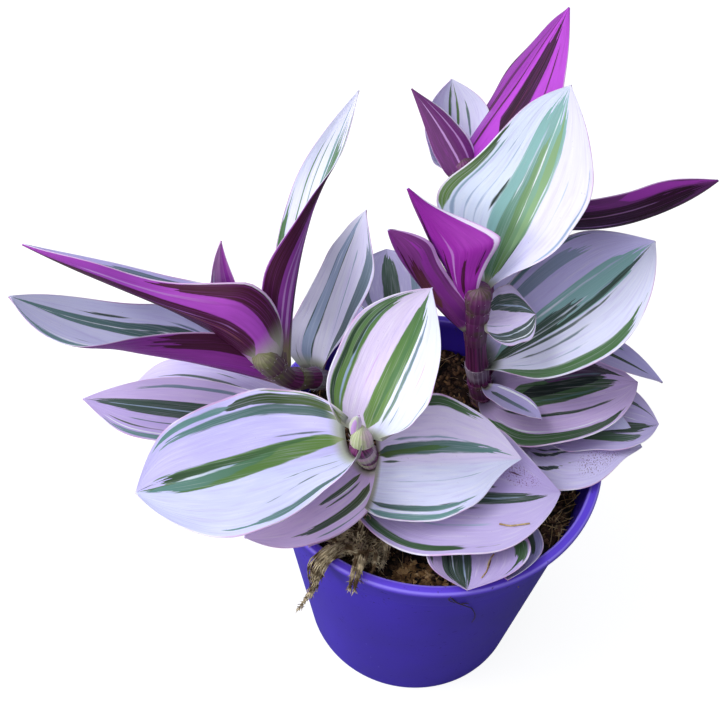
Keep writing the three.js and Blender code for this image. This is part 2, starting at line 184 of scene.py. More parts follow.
def finish_named(name):
    """A new empty material, its node tree and its Principled shader."""
    made = bpy.data.materials.new(name)
    made.use_nodes = True
    return made, made.node_tree, made.node_tree.nodes["Principled BSDF"]


def group_named(name, inputs, outputs, kind="ShaderNodeTree"):
    """A node group: its tree, the values that it is given and the places for its results."""
    tree = bpy.data.node_groups.new(name, kind)
    for label, kind, value in inputs:
        socket = tree.interface.new_socket(name=label, in_out="INPUT", socket_type=kind)
        if value is not None:
            socket.default_value = value
    for label, kind in outputs:
        tree.interface.new_socket(name=label, in_out="OUTPUT", socket_type=kind)
    return tree, tree.nodes.new("NodeGroupInput").outputs, tree.nodes.new("NodeGroupOutput").inputs


FLOAT, WHOLE, VECTOR = "NodeSocketFloat", "NodeSocketInt", "NodeSocketVector"
GEOMETRY, MATERIAL, GEOMETRY_TREE = "NodeSocketGeometry", "NodeSocketMaterial", "GeometryNodeTree"
print("helpers ready")

# %% [markdown]
# ## Floor and light
# The object stands on plain white, lit by soft daylight from the upper left. A wide lamp gives soft
# shadows. Two weaker lamps and a pale sky that is brighter on the left fill them. A floor that is really
# bright would light the pot from below and flatten it, so the floor is grey to the plant and glows only
# to the eye of the camera.

# %% Floor, sky and lamps
FLOOR_SIZE, FLOOR_GREY, FLOOR_ROUGHNESS, FLOOR_GLOW = 60.0, (0.25, 0.25, 0.25, 1), 0.95, 0.86
WHITE, SKY_BLUE = (1, 1, 1, 1), (0.89, 0.93, 1.0, 1)
SKY_STRENGTH, SKY_LEAN = 0.78, 0.85
# Each lamp: its place, its size, its power and its colour.
LAMPS = {"window": ((-0.75, -0.15, 1.1), 0.6, 5.0, (1, 1, 1)),
         "room": ((-0.4, -0.9, 1.2), 0.9, 1.8, (0.93, 0.96, 1.0)),
         "side_window": ((-1.1, -0.45, 0.4), 0.5, 4.2, (1, 1, 1))}

floor_mesh = bpy.data.meshes.new("floor")
half = FLOOR_SIZE / 2
corners = [(-half, -half, 0), (half, -half, 0), (half, half, 0), (-half, half, 0)]
floor_mesh.from_pydata(corners, [], [(0, 1, 2, 3)])
white, tree, shader = finish_named("white_floor")
seen = add(tree, "ShaderNodeLightPath").outputs["Is Camera Ray"]
feed(tree, shader, {"Base Color": FLOOR_GREY, "Roughness": FLOOR_ROUGHNESS, "Emission Color": WHITE,
                    "Emission Strength": times(tree, seen, FLOOR_GLOW)})
floor_mesh.materials.append(white)
in_scene("floor", floor_mesh)

world = bpy.data.worlds.new("sky")
world.use_nodes = True
tree = world.node_tree
to_right = split(tree, add(tree, "ShaderNodeTexCoord").outputs["Generated"])[0]
strength = sums(tree, "MULTIPLY_ADD", to_right, -SKY_LEAN * SKY_STRENGTH, SKY_STRENGTH)
feed(tree, tree.nodes["Background"], {"Color": SKY_BLUE, "Strength": strength})
bpy.context.scene.world = world
bpy.context.scene.view_settings.view_transform = "Standard"

for name, (place, size, power, colour) in LAMPS.items():
    light = bpy.data.lights.new(name, "AREA")
    light.size, light.energy, light.color = size, power, colour
    lamp = in_scene(name, light)
    lamp.location = place
    lamp.rotation_euler = (Vector(place) - AIM).to_track_quat("Z", "Y").to_euler()
print("floor and", len(LAMPS), "lamps")

# %% [markdown]
# ## Meshes from rows of points
# Most pieces here are skins over rows of points: the pot is rings round an axis, the soil is rings
# round its middle, a leaf is rows across its midrib. One helper joins such rows into faces.

# %% Mesh helpers
def piece_from(name, points, faces, uvs=None, materials=(), face_material=None):
    """A smooth mesh object from points in metres. uvs holds one pair for each point."""
    mesh = bpy.data.meshes.new(name)
    mesh.from_pydata([tuple(p) for p in points], [], faces)
    mesh.polygons.foreach_set("use_smooth", [True] * len(mesh.polygons))
    for material in materials:
        mesh.materials.append(material)
    if face_material is not None:
        mesh.polygons.foreach_set("material_index", face_material)
    if uvs is not None:
        layer = mesh.uv_layers.new(name="UVMap")
        corner = np.empty(len(mesh.loops), np.int32)
        mesh.loops.foreach_get("vertex_index", corner)
        layer.data.foreach_set("uv", np.asarray(uvs, np.float32)[corner].ravel())
    mesh.update()
    return in_scene(name, mesh)


def rings(radii_heights, sides):
    """Points and faces of a shape turned round Z. A radius of 0 at an end closes it at one point."""
    points, faces, rows = [], [], []
    for radius, height in radii_heights:
        if radius == 0:
            rows.append([len(points)] * sides)
            points.append((0, 0, height))
            continue
        rows.append(list(range(len(points), len(points) + sides)))
        turns = [2 * math.pi * i / sides for i in range(sides)]
        points += [(radius * math.cos(turn), radius * math.sin(turn), height) for turn in turns]
    for low, high in zip(rows, rows[1:]):
        for i in range(sides):
            j = (i + 1) % sides
            corners = [low[i], low[j], high[j], high[i]]
            faces.append(tuple(dict.fromkeys(corners)))
    return points, faces


def settle(piece, slot, *nodes):
    """Every piece rides on the one body and stands for its CAD node, which it hides. The slot is not used."""
    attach(piece, BODY)
    if nodes:
        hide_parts(*nodes)
    return piece


print("mesh helpers ready")

# %% [markdown]
# ## The pot
# A nursery pot is blow-thin plastic drawn into a tapered cup, with a stiff collar under a rolled lip and
# drain holes round the base. The wall is one profile turned round the axis. Each corner of the profile
# gets a small arc, because a moulded edge is never sharp and its highlight is what makes it plastic.

# %% Pot profile
POT_HEIGHT, RIM_RADIUS, BASE_RADIUS, WALL, POT_FLOOR = 96, 52.5, 36.5, 1.3, 2
COLLAR_HEIGHT, COLLAR_STEP, LIP_WIDTH, LIP_HEIGHT = 14, 1.2, 3.1, 2.4
RECESS_DEPTH, RECESS_FLAT, RECESS_END = 0.6, 20, 22
DRAIN_HOLES, DRAIN_RADIUS, DRAIN_CIRCLE, DRILL_REACH, DRILL_SIDES = 8, 3.5, 27, 6, 24
POT_SIDES, CORNER_STEPS, CORNER_SHARE = 144, 4, 0.45


def wall_radius(height):
    """The outside radius of the pot's wall at a height, in millimetres."""
    top = RIM_RADIUS - LIP_WIDTH / 2 - COLLAR_STEP
    return BASE_RADIUS + (top - BASE_RADIUS) * height / POT_HEIGHT


def rounded(corners):
    """A profile whose corners (radius, height, size of the round) are turned into short arcs."""
    made = []
    for k, (r, z, size) in enumerate(corners):
        here = Vector((r, z))
        if size == 0 or k in (0, len(corners) - 1):
            made.append(here)
            continue
        ways = [Vector(corners[k + i][:2]) - here for i in (-1, 1)]
        a, b = (here + way.normalized() * min(size, way.length * CORNER_SHARE) for way in ways)
        for i in range(CORNER_STEPS + 1):
            t = i / CORNER_STEPS
            made.append(a * (1 - t) ** 2 + here * 2 * t * (1 - t) + b * t ** 2)
    return made


collar = POT_HEIGHT - COLLAR_HEIGHT
lip_middle = RIM_RADIUS - LIP_WIDTH / 2
lip_bottom = POT_HEIGHT - LIP_HEIGHT
under_collar = wall_radius(collar)
POT_PROFILE = rounded([
    (0, RECESS_DEPTH, 0), (RECESS_FLAT, RECESS_DEPTH, 1), (RECESS_END, 0, 1), (BASE_RADIUS, 0, 1.5),
    (under_collar, collar, 0.6), (under_collar + COLLAR_STEP, collar + 1, 0.6),
    (lip_middle - 0.2, lip_bottom, 0.4), (RIM_RADIUS, lip_bottom, 1.0), (RIM_RADIUS, POT_HEIGHT, 1.1),
    (RIM_RADIUS - LIP_WIDTH, POT_HEIGHT, 0.9), (lip_middle - 1.4 * WALL, lip_bottom, 0.6),
    (under_collar - WALL + COLLAR_STEP / 2, collar + 1, 0.5), (under_collar - WALL, collar - 1, 0.5),
    (wall_radius(POT_FLOOR) - WALL, POT_FLOOR, 1.2), (0, POT_FLOOR, 0)])
pot_points, pot_faces = rings([(p.x * MM, p.y * MM) for p in POT_PROFILE], POT_SIDES)
print("pot profile points:", len(POT_PROFILE))

# %% [markdown]
# ## Violet plastic
# The plastic is a deep violet with a satin skin. The top of the lip is painted lighter, a painted highlight,
# and its two top edges carry thin painted highlight lines. Fine scratches, splashes of dried peat water
# and a dust film break up the shine, as on a used pot.

# %% Plastic finish
VIOLET, VIOLET_DEEP, VIOLET_LIP_HIGHLIGHT = paint("#5238d8"), paint("#301c94"), paint("#7858f8")
# A pale violet for real nicks and for the painted highlight lines on the lip's edges.
VIOLET_WEAR_AND_HIGHLIGHT, DRIED_PEAT = paint("#a896ff"), paint("#3a3050")
# Radii in millimetres of the two painted highlight lines along the lip's top edges.
LIP_EDGES = (52.1, 49.8)
CLOUD_SCALE, GRAIN_SCALE, SPLASH_SCALE, SPECK_SCALE = 26.0, 900.0, 520.0, 260.0
PLASTIC_SHINE, PLASTIC_ROUGHNESS, PLASTIC_RELIEF = 0.16, 0.36, 0.0002


def below_top(tree, height, low, high):
    """0 at `low` millimetres below the pot's top edge, 1 at `high` millimetres below it."""
    return ramp(tree, height, (POT_HEIGHT - low) * MM, (POT_HEIGHT - high) * MM)


def painted_edge_highlights(tree, x, y, height):
    """The two top edges of the lip, where thin painted highlight lines run."""
    from_axis = sums(tree, "SQRT", sums(tree, "MULTIPLY_ADD", x, x, times(tree, y, y)))
    off_edge = [sums(tree, "ABSOLUTE", sums(tree, "SUBTRACT", from_axis, edge * MM)) for edge in LIP_EDGES]
    near_edge = [ramp(tree, off, 0.5 * MM, 0.1 * MM) for off in off_edge]
    return times(tree, sums(tree, "MAXIMUM", *near_edge), below_top(tree, height, 1.6, 0.6))


def dried_peat(tree, splashes, specks, cloudy, height):
    """Splashes, more of them under the lip, and small dots of dried peat."""
    often = sums(tree, "MULTIPLY_ADD", below_top(tree, height, 24, 4), 0.5, 0.2)
    dots = times(tree, ramp(tree, specks, 0.11, 0.05), ramp(tree, cloudy, 0.5, 0.62))
    return sums(tree, "MAXIMUM", times(tree, ramp(tree, splashes, 0.66, 0.74), often), times(tree, dots, 0.7))


violet, tree, shader = finish_named("violet_plastic")
place = own_place(tree)
x, y, height = split(tree, place)
cloudy, grain = clouds(tree, place, CLOUD_SCALE, 4.0), clouds(tree, place, GRAIN_SCALE, 3.0)
specks = add(tree, "ShaderNodeTexVoronoi", {"Vector": place, "Scale": SPECK_SCALE}).outputs["Distance"]
dirt = dried_peat(tree, clouds(tree, place, SPLASH_SCALE), specks, cloudy, height)
nicks = times(tree, ramp(tree, specks, 0.09, 0.05), ramp(tree, cloudy, 0.46, 0.4))
# Pale nicks are real wear. The pale lines along the lip's two top edges are painted highlights.
wear_and_highlight = sums(tree, "MAXIMUM", painted_edge_highlights(tree, x, y, height), nicks)
colour = blend_colours(tree, cloudy, VIOLET_DEEP, VIOLET)
# The top 3 mm, the lip, is painted lighter: a painted highlight.
colour = tinted(tree, colour, VIOLET_LIP_HIGHLIGHT, below_top(tree, height, 3, 0), 0.6)
colour = tinted(tree, colour, VIOLET_WEAR_AND_HIGHLIGHT, wear_and_highlight, 0.6)
roughness = sums(tree, "MULTIPLY_ADD", cloudy, 0.16, PLASTIC_ROUGHNESS)
relief = sums(tree, "MULTIPLY_ADD", grain, 0.35, times(tree, dirt, 0.8))
feed(tree, shader, {"Base Color": blend_colours(tree, dirt, colour, DRIED_PEAT),
                    "Roughness": sums(tree, "ADD", roughness, times(tree, dirt, 0.3)),
                    "Specular IOR Level": PLASTIC_SHINE, "Normal": bump(tree, relief, 0.25, PLASTIC_RELIEF)})
print("plastic finish ready")

# %% Pot mesh with its drain holes
def cut_holes(name, points, faces, material):
    """The turned cup with round holes cut through its floor."""
    cup = piece_from(name, points, faces, materials=[material])
    radius, reach = DRAIN_RADIUS * MM, DRILL_REACH * MM
    profile = [(0, -reach), (radius, -reach), (radius, reach), (0, reach)]
    drill_points, drill_faces = rings(profile, DRILL_SIDES)
    for k in range(DRAIN_HOLES):
        angle = 2 * math.pi * (k + 0.5) / DRAIN_HOLES
        centre = Vector((math.cos(angle), math.sin(angle), 0)) * DRAIN_CIRCLE * MM
        drill = piece_from("drill", [Vector(p) + centre for p in drill_points], drill_faces)
        cut = cup.modifiers.new("drain", "BOOLEAN")
        cut.operation, cut.solver, cut.object = "DIFFERENCE", "EXACT", drill
    bpy.context.view_layer.update()
    evaluated = cup.evaluated_get(bpy.context.evaluated_depsgraph_get())
    mesh = bpy.data.meshes.new_from_object(evaluated)
    for drill in [o for o in bpy.data.objects if o.name.startswith("drill")]:
        bpy.data.objects.remove(drill)
    cup.modifiers.clear()
    cup.data = mesh
    return cup


pot = settle(cut_holes("nursery_pot", pot_points, pot_faces, violet), "violet_plastic", "pot")
print("pot faces:", len(pot.data.polygons))

# %% [markdown]
# ## Paths and tubes
# Stems and roots are soft tubes. Their routes are smooth curves through a few points, the same curves
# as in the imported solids. A small Geometry Nodes tree turns a line of points into a tube, so that one
# rule makes eight stems and well over a thousand root fibres. It keeps the place round and along the
# tube as attributes, which the finishes use for their ribs.

# %% Smooth paths
CURVE_STEPS, SHORTEST_STEP = 80, 1e-4


def unit(vectors):
    """Vectors of length 1 in the same directions."""
    return vectors / np.linalg.norm(vectors, axis=-1, keepdims=True)


def smooth_path(knots, count):
    """Points evenly spaced along the centripetal curve through the knots (Catmull-Rom)."""
    p = np.asarray(knots, float)
    p = np.vstack([2 * p[0] - p[1], p, 2 * p[-1] - p[-2]])
    dense = []
    for k in range(1, len(p) - 2):
        d0, d1, d2 = (max(np.linalg.norm(p[k + i] - p[k + i - 1]) ** 0.5, SHORTEST_STEP) for i in (0, 1, 2))
        first = ((p[k] - p[k - 1]) / d0 - (p[k + 1] - p[k - 1]) / (d0 + d1) + (p[k + 1] - p[k]) / d1) * d1
        last = ((p[k + 1] - p[k]) / d1 - (p[k + 2] - p[k]) / (d1 + d2) + (p[k + 2] - p[k + 1]) / d2) * d1
        t = np.linspace(0, 1, CURVE_STEPS, endpoint=False)[:, None]
        dense.append(p[k] + first * t + (-3 * p[k] + 3 * p[k + 1] - 2 * first - last) * t ** 2
                     + (2 * p[k] - 2 * p[k + 1] + first + last) * t ** 3)
    dense = np.vstack(dense + [p[-2:-1]])
    length = np.concatenate([[0], np.cumsum(np.linalg.norm(np.diff(dense, axis=0), axis=1))])
    wanted = np.linspace(0, length[-1], count)
    return np.stack([np.interp(wanted, length, dense[:, i]) for i in range(3)], axis=1)


def step(tree, kind, inputs=None, **settings):
    """The result of one Geometry node."""
    return add(tree, "GeometryNode" + kind, inputs, **settings).outputs[0]


def finished(tree, shape, finish, result):
    """The end of a tree: the shape as plain geometry with its finish, linked to the tree's result."""
    plain = step(tree, "RealizeInstances", {0: shape})
    tree.links.new(step(tree, "SetMaterial", {"Geometry": plain, "Material": finish}), result)


def tube_tree():
    """Geometry Nodes: a line of points with a thickness becomes a closed tube with a material."""
    given_kinds = [("Line", GEOMETRY, None), ("Sides", WHOLE, None), ("Finish", MATERIAL, None)]
    tree, given, out = group_named("Tube along a line", given_kinds, [("Tube", GEOMETRY)], GEOMETRY_TREE)
    line = step(tree, "MeshToCurve", {0: given["Line"]})
    thickness = step(tree, "InputNamedAttribute", {"Name": "thickness"}, data_type="FLOAT")
    line = step(tree, "SetCurveRadius", {"Curve": line, "Radius": thickness})
    along = add(tree, "GeometryNodeSplineParameter").outputs["Length"]
    line = step(tree, "StoreNamedAttribute", {"Geometry": line, "Name": "along", "Value": along},
                data_type="FLOAT", domain="POINT")
    circle = step(tree, "CurvePrimitiveCircle", {"Resolution": given["Sides"], "Radius": 1.0})
    around = step(tree, "InputPosition")
    circle = step(tree, "StoreNamedAttribute", {"Geometry": circle, "Name": "around", "Value": around},
                  data_type="FLOAT_VECTOR", domain="POINT")
    tube = add(tree, "GeometryNodeCurveToMesh", {"Curve": line, "Profile Curve": circle, "Fill Caps": True})
    if "Scale" in tube.inputs:
        tree.links.new(thickness, tube.inputs["Scale"])
    finished(tree, step(tree, "SetShadeSmooth", {0: tube.outputs[0]}), given["Finish"], out["Tube"])
    return tree


def grown(name, source, tree, values):
    """Runs a Geometry Nodes tree on a mesh object and keeps the result as a plain mesh."""
    modifier = source.modifiers.new("grow", "NODES")
    modifier.node_group = tree
    for item in tree.interface.items_tree:
        if item.in_out == "INPUT" and item.name in values:
            modifier[item.identifier] = values[item.name]
    bpy.context.view_layer.update()
    graph = bpy.context.evaluated_depsgraph_get()
    mesh = bpy.data.meshes.new_from_object(source.evaluated_get(graph), preserve_all_data_layers=True,
                                           depsgraph=graph)
    bpy.data.objects.remove(source)
    mesh.name = name
    return in_scene(name, mesh)


def lines_mesh(name, lines):
    """One mesh of loose lines. Each line is (points in millimetres, thickness in millimetres for each)."""
    points, edges, thickness = [], [], []
    for path, sizes in lines:
        first = len(points)
        points += [tuple(float(x) * MM for x in p) for p in path]
        edges += [(first + i, first + i + 1) for i in range(len(path) - 1)]
        thickness += [float(t) * MM for t in sizes]
    mesh = bpy.data.meshes.new(name)
    mesh.from_pydata(points, edges, [])
    mesh.attributes.new("thickness", "FLOAT", "POINT").data.foreach_set("value", thickness)
    return in_scene(name, mesh)


TUBE = tube_tree()
print("tube tree nodes:", len(TUBE.nodes))

# %% [markdown]
# ## Soil
# The pot is filled with dark peat. Its top rolls gently, as in the solid, and a finer roughness is laid
# over it. A texture alone would look flat from this close, so crumbs and tan fibres are scattered on it
# as real geometry by two Geometry Nodes trees.

# %% Soil surface
SOIL_TOP, SOIL_BUMP, SOIL_GAP = 84, 1.1, 0.3
SOIL_RINGS, SOIL_SIDES, SOIL_ROUGH = 54, 150, 0.9
SOIL_LUMPS, SOIL_NOISE = 0.45, (0.8, 2.2, 4)


def soil_height(x, y):
    """The rolling top of the soil in millimetres, as in the solid."""
    return SOIL_TOP + SOIL_BUMP * (math.sin(0.31 * x + 0.7) * math.cos(0.27 * y - 0.4)
                                   + 0.5 * math.sin(0.63 * x - 0.41 * y + 1.9))


def soil_surface():
    """The soil as a closed plug: rough top, side along the wall and flat bottom."""
    outer, bottom = wall_radius(SOIL_TOP) - WALL - SOIL_GAP, wall_radius(POT_FLOOR) - WALL - SOIL_GAP
    profile = [(0, 0)] + [(outer * k / SOIL_RINGS * MM, 0) for k in range(1, SOIL_RINGS + 1)]
    profile += [(bottom * MM, (POT_FLOOR + SOIL_GAP) * MM), (0, (POT_FLOOR + SOIL_GAP) * MM)]
    points, faces = rings(profile, SOIL_SIDES)
    top = 1 + SOIL_RINGS * SOIL_SIDES
    shaped = []
    for i, (x, y, z) in enumerate(points):
        if i < top:
            spot = Vector((x, y, 0)) * 1000
            bumps = noise.fractal(spot * SOIL_LUMPS, *SOIL_NOISE)
            z = (soil_height(spot.x, spot.y) + SOIL_ROUGH * bumps) * MM
        shaped.append((x, y, z))
    return shaped, [tuple(reversed(f)) for f in faces]


soil_points, soil_faces = soil_surface()
print("soil points:", len(soil_points))

# %% Soil finish
PEAT_TAN, CLOD_SCALE, FINE_SCALE = paint("#9a7854"), 190.0, 1400.0
PEAT_ROUGHNESS, PEAT_SHINE, PEAT_RELIEF = 0.7, 0.25, 0.0008


def peat_finish(name, dark, light, dust):
    """Peat or straw: two tones in clods, dusted with tan, matt and finely broken."""
    made, tree, shader = finish_named(name)
    place = own_place(tree)
    clods, fine = clouds(tree, place, CLOD_SCALE, 6.0, 0.7), clouds(tree, place, FINE_SCALE, 3.0)
    colour = blend_colours(tree, ramp(tree, clods, 0.4, 0.68), paint(dark), paint(light))
    colour = tinted(tree, colour, PEAT_TAN, ramp(tree, fine, 0.6, 0.75), dust)
    roughness = sums(tree, "MULTIPLY_ADD", clods, 0.25, PEAT_ROUGHNESS)
    relief = sums(tree, "ADD", clods, times(tree, fine, 0.5))
    feed(tree, shader, {"Base Color": colour, "Roughness": roughness, "Specular IOR Level": PEAT_SHINE,
                        "Normal": bump(tree, relief, 0.8, PEAT_RELIEF)})
    return made


peat = peat_finish("peat", "#120d0c", "#4a3425", 0.5)
crumb = peat_finish("peat_crumb", "#2c1f17", "#94704f", 0.7)
tan_crumb = peat_finish("bark_crumb", "#6a4d30", "#b8905e", 0.8)
pale_crumb = peat_finish("pale_crumb", "#b58a58", "#e6c490", 0.4)
straw = peat_finish("straw", "#9b7d52", "#e2cb9c", 0.5)
print("peat finishes ready")


# %% Crumbs and fibres that lie on the soil
FIBRE_BOW, FIBRE_RADIUS, FIBRE_STEPS, FIBRE_SIDES = (0, 0.55, 0.25), 0.045, 7, 4


def crumb_shape(tree):
    """A rough grain of size 1."""
    return step(tree, "MeshIcoSphere", {"Radius": 1.0, "Subdivisions": 1})


def fibre_shape(tree):
    """A bowed fibre of size 1."""
    bow = step(tree, "CurveQuadraticBezier", {"Resolution": FIBRE_STEPS, "Start": (-1, 0, 0),
                                              "Middle": FIBRE_BOW, "End": (1, 0, 0)})
    circle = step(tree, "CurvePrimitiveCircle", {"Resolution": FIBRE_SIDES, "Radius": FIBRE_RADIUS})
    return step(tree, "CurveToMesh", {"Curve": bow, "Profile Curve": circle, "Fill Caps": True})


def random_vector(tree, low, high, seed):
    """A random vector for each point."""
    return add(tree, "FunctionNodeRandomValue", {0: low, 1: high, "Seed": seed},
               data_type="FLOAT_VECTOR").outputs[0]


def scatter_tree(name, shape, low, high, lean):
    """Geometry Nodes: scatters a shape over a surface, stretched between low and high, leaning up to lean."""
    given_kinds = [("Surface", GEOMETRY, None), ("Density", FLOAT, 1e5), ("Size", FLOAT, 1e-3),
                   ("Seed", WHOLE, 1), ("Finish", MATERIAL, None)]
    tree, given, out = group_named(name, given_kinds, [("Scatter", GEOMETRY)], GEOMETRY_TREE)
    seed = given["Seed"]
    points = step(tree, "DistributePointsOnFaces", {"Mesh": given["Surface"], "Density": given["Density"],
                                                    "Seed": seed})
    turn = random_vector(tree, (-lean, -lean, -math.pi), (lean, lean, math.pi), seed)
    # The next seed, so that turn and size don't repeat each other.
    grow = random_vector(tree, low, high, sums(tree, "ADD", seed, 1.0))
    grow = add(tree, "ShaderNodeVectorMath", {0: grow, "Scale": given["Size"]}, operation="SCALE").outputs[0]
    placed = step(tree, "InstanceOnPoints", {"Points": points, "Instance": shape(tree), "Rotation": turn,
                                             "Scale": grow})
    finished(tree, placed, given["Finish"], out["Scatter"])
    return tree


CRUMBS = scatter_tree("Scatter crumbs", crumb_shape, (0.35, 0.35, 0.3), (1.0, 0.8, 0.7), math.pi)
FIBRES = scatter_tree("Scatter fibres", fibre_shape, (0.4, 0.5, 0.5), (1.5, 1.3, 1.0), 0.45)


def soil_patch(name, keep):
    """The faces of the soil's top that lie where keep(x, y) is true, as ground for a scatter."""
    faces = [f for f in soil_faces[:SOIL_RINGS * SOIL_SIDES]
             if keep(*(1000 * sum(soil_points[i][k] for i in f) / len(f) for k in (0, 1)))]
    return piece_from(name, soil_points, faces)


def joined(name, *parts):
    """Several meshes as one piece."""
    with bpy.context.temp_override(active_object=parts[0], selected_editable_objects=list(parts)):
        bpy.ops.object.join()
    parts[0].name = parts[0].data.name = name
    return parts[0]


def inside(x, y):
    """The soil's top, short of the wall."""
    return math.hypot(x, y) < 46.5


def front_pile(x, y):
    """The small pile of tan crumbs at the front."""
    return math.hypot((x - 4) / 10, (y + 41) / 5) < 1


def right_gap(x, y):
    """The gap between the leaves on the right."""
    return math.hypot((x - 39) / 7, (y + 10) / 12) < 1 and inside(x, y)


# Each scatter: its name, where it lies, its shape, its density for a square metre, its size, seed and finish.
SCATTERS = [
    ("crumbs", inside, CRUMBS, 3.0e5, 0.0013, 3, crumb),
    ("big_crumbs", inside, CRUMBS, 3.5e4, 0.0023, 11, crumb),
    ("tan_crumbs", inside, CRUMBS, 3.0e4, 0.0011, 5, tan_crumb),
    ("pile_crumbs", front_pile, CRUMBS, 4.0e5, 0.0023, 21, tan_crumb),
    # Pale crumbs are paler bark, and they also stand in as painted highlights on the lit tops of the pile.
    ("pile_lights", front_pile, CRUMBS, 2.6e5, 0.002, 22, pale_crumb),
    # Dark peat crumbs, put in as painted shade for the gaps between the crumbs of the pile.
    ("pile_darks", front_pile, CRUMBS, 3.0e5, 0.0022, 23, peat),
    ("pile_straw", front_pile, FIBRES, 2.0e5, 0.0018, 31, straw),
    ("gap_straw", right_gap, FIBRES, 1.5e5, 0.004, 17, straw),
    ("soil_straw", inside, FIBRES, 2.6e4, 0.0035, 8, straw),
]
layers = [piece_from("soil_top", soil_points, soil_faces, materials=[peat])]
for name, where, shape, density, size, seed, finish in SCATTERS:
    layers.append(grown(name, soil_patch("ground", where), shape,
                        {"Density": density, "Size": size, "Seed": seed, "Finish": finish}))
soil = joined("peat_soil", *layers)
settle(soil, "potting_soil", "soil")
print("soil triangles:", sum(len(p.vertices) - 2 for p in soil.data.polygons))

# %% [markdown]
# ## Stems
# The stems are juicy and jointed, a little thicker where each leaf grows, maroon and finely ribbed in
# the light and greener near the tip. They are tubes along the solids' curves. The ribs are relief in
# the finish, because they are finer than a face.

# %% Stem routes
STEM_END, NODE_SWELL, NODE_LENGTH = 0.06, 0.1, 0.04
PATH_STEPS, STEM_RINGS, STEM_SIDES = 400, 60, 24
# Each stem: its radius and the points that its curve runs through, in millimetres.
STEMS = {
    "stem_left": (3.1, [(-28, 26, 76), (-31, 23, 88), (-37, 12, 104), (-44, 0, 118), (-50, -4, 131)]),
    "stem_front": (3.1, [(-12, -4, 76), (-14, -8, 88), (-17, -16, 106), (-19, -25, 124)]),
    "stem_tall": (3.3, [(16, 30, 76), (14.7, 28.5, 86), (11.5, 26.5, 103), (9, 25, 124), (8.5, 23, 140)]),
    "stem_top": (2.9, [(17.5, 38, 76), (16.5, 40, 90), (11, 45, 118), (3, 49, 146), (-1, 51, 163)]),
    "stem_right": (2.8, [(26, 16, 76), (27, 15.5, 84), (30, 13, 91.5)]),
    "stem_low_front": (2.6, [(14, -14, 76), (13, -16, 87), (12, -19, 97)]),
    "stem_low_left": (2.6, [(-33, 4, 76), (-36, 1, 88), (-42, -4, 101)]),
    "stem_back": (2.6, [(-14, 26, 76), (-14, 28, 92), (-15, 32, 112)]),
}
PATHS = {name: smooth_path(knots, PATH_STEPS + 1) for name, (_, knots) in STEMS.items()}
print("stem routes:", len(PATHS))

# %% [markdown]
# ## Leaf shapes
# Each leaf is a row: its stem, how far up the stem it grows, its tip, how far its middle bows and its
# outer third droops, its width, roll, cupping, and how its outline widens and comes to a point. Some rows
# also say how wide the foot is and turn it round the stem. These are the solids' own numbers, so that a
# fine blade lies exactly where its plain solid does.

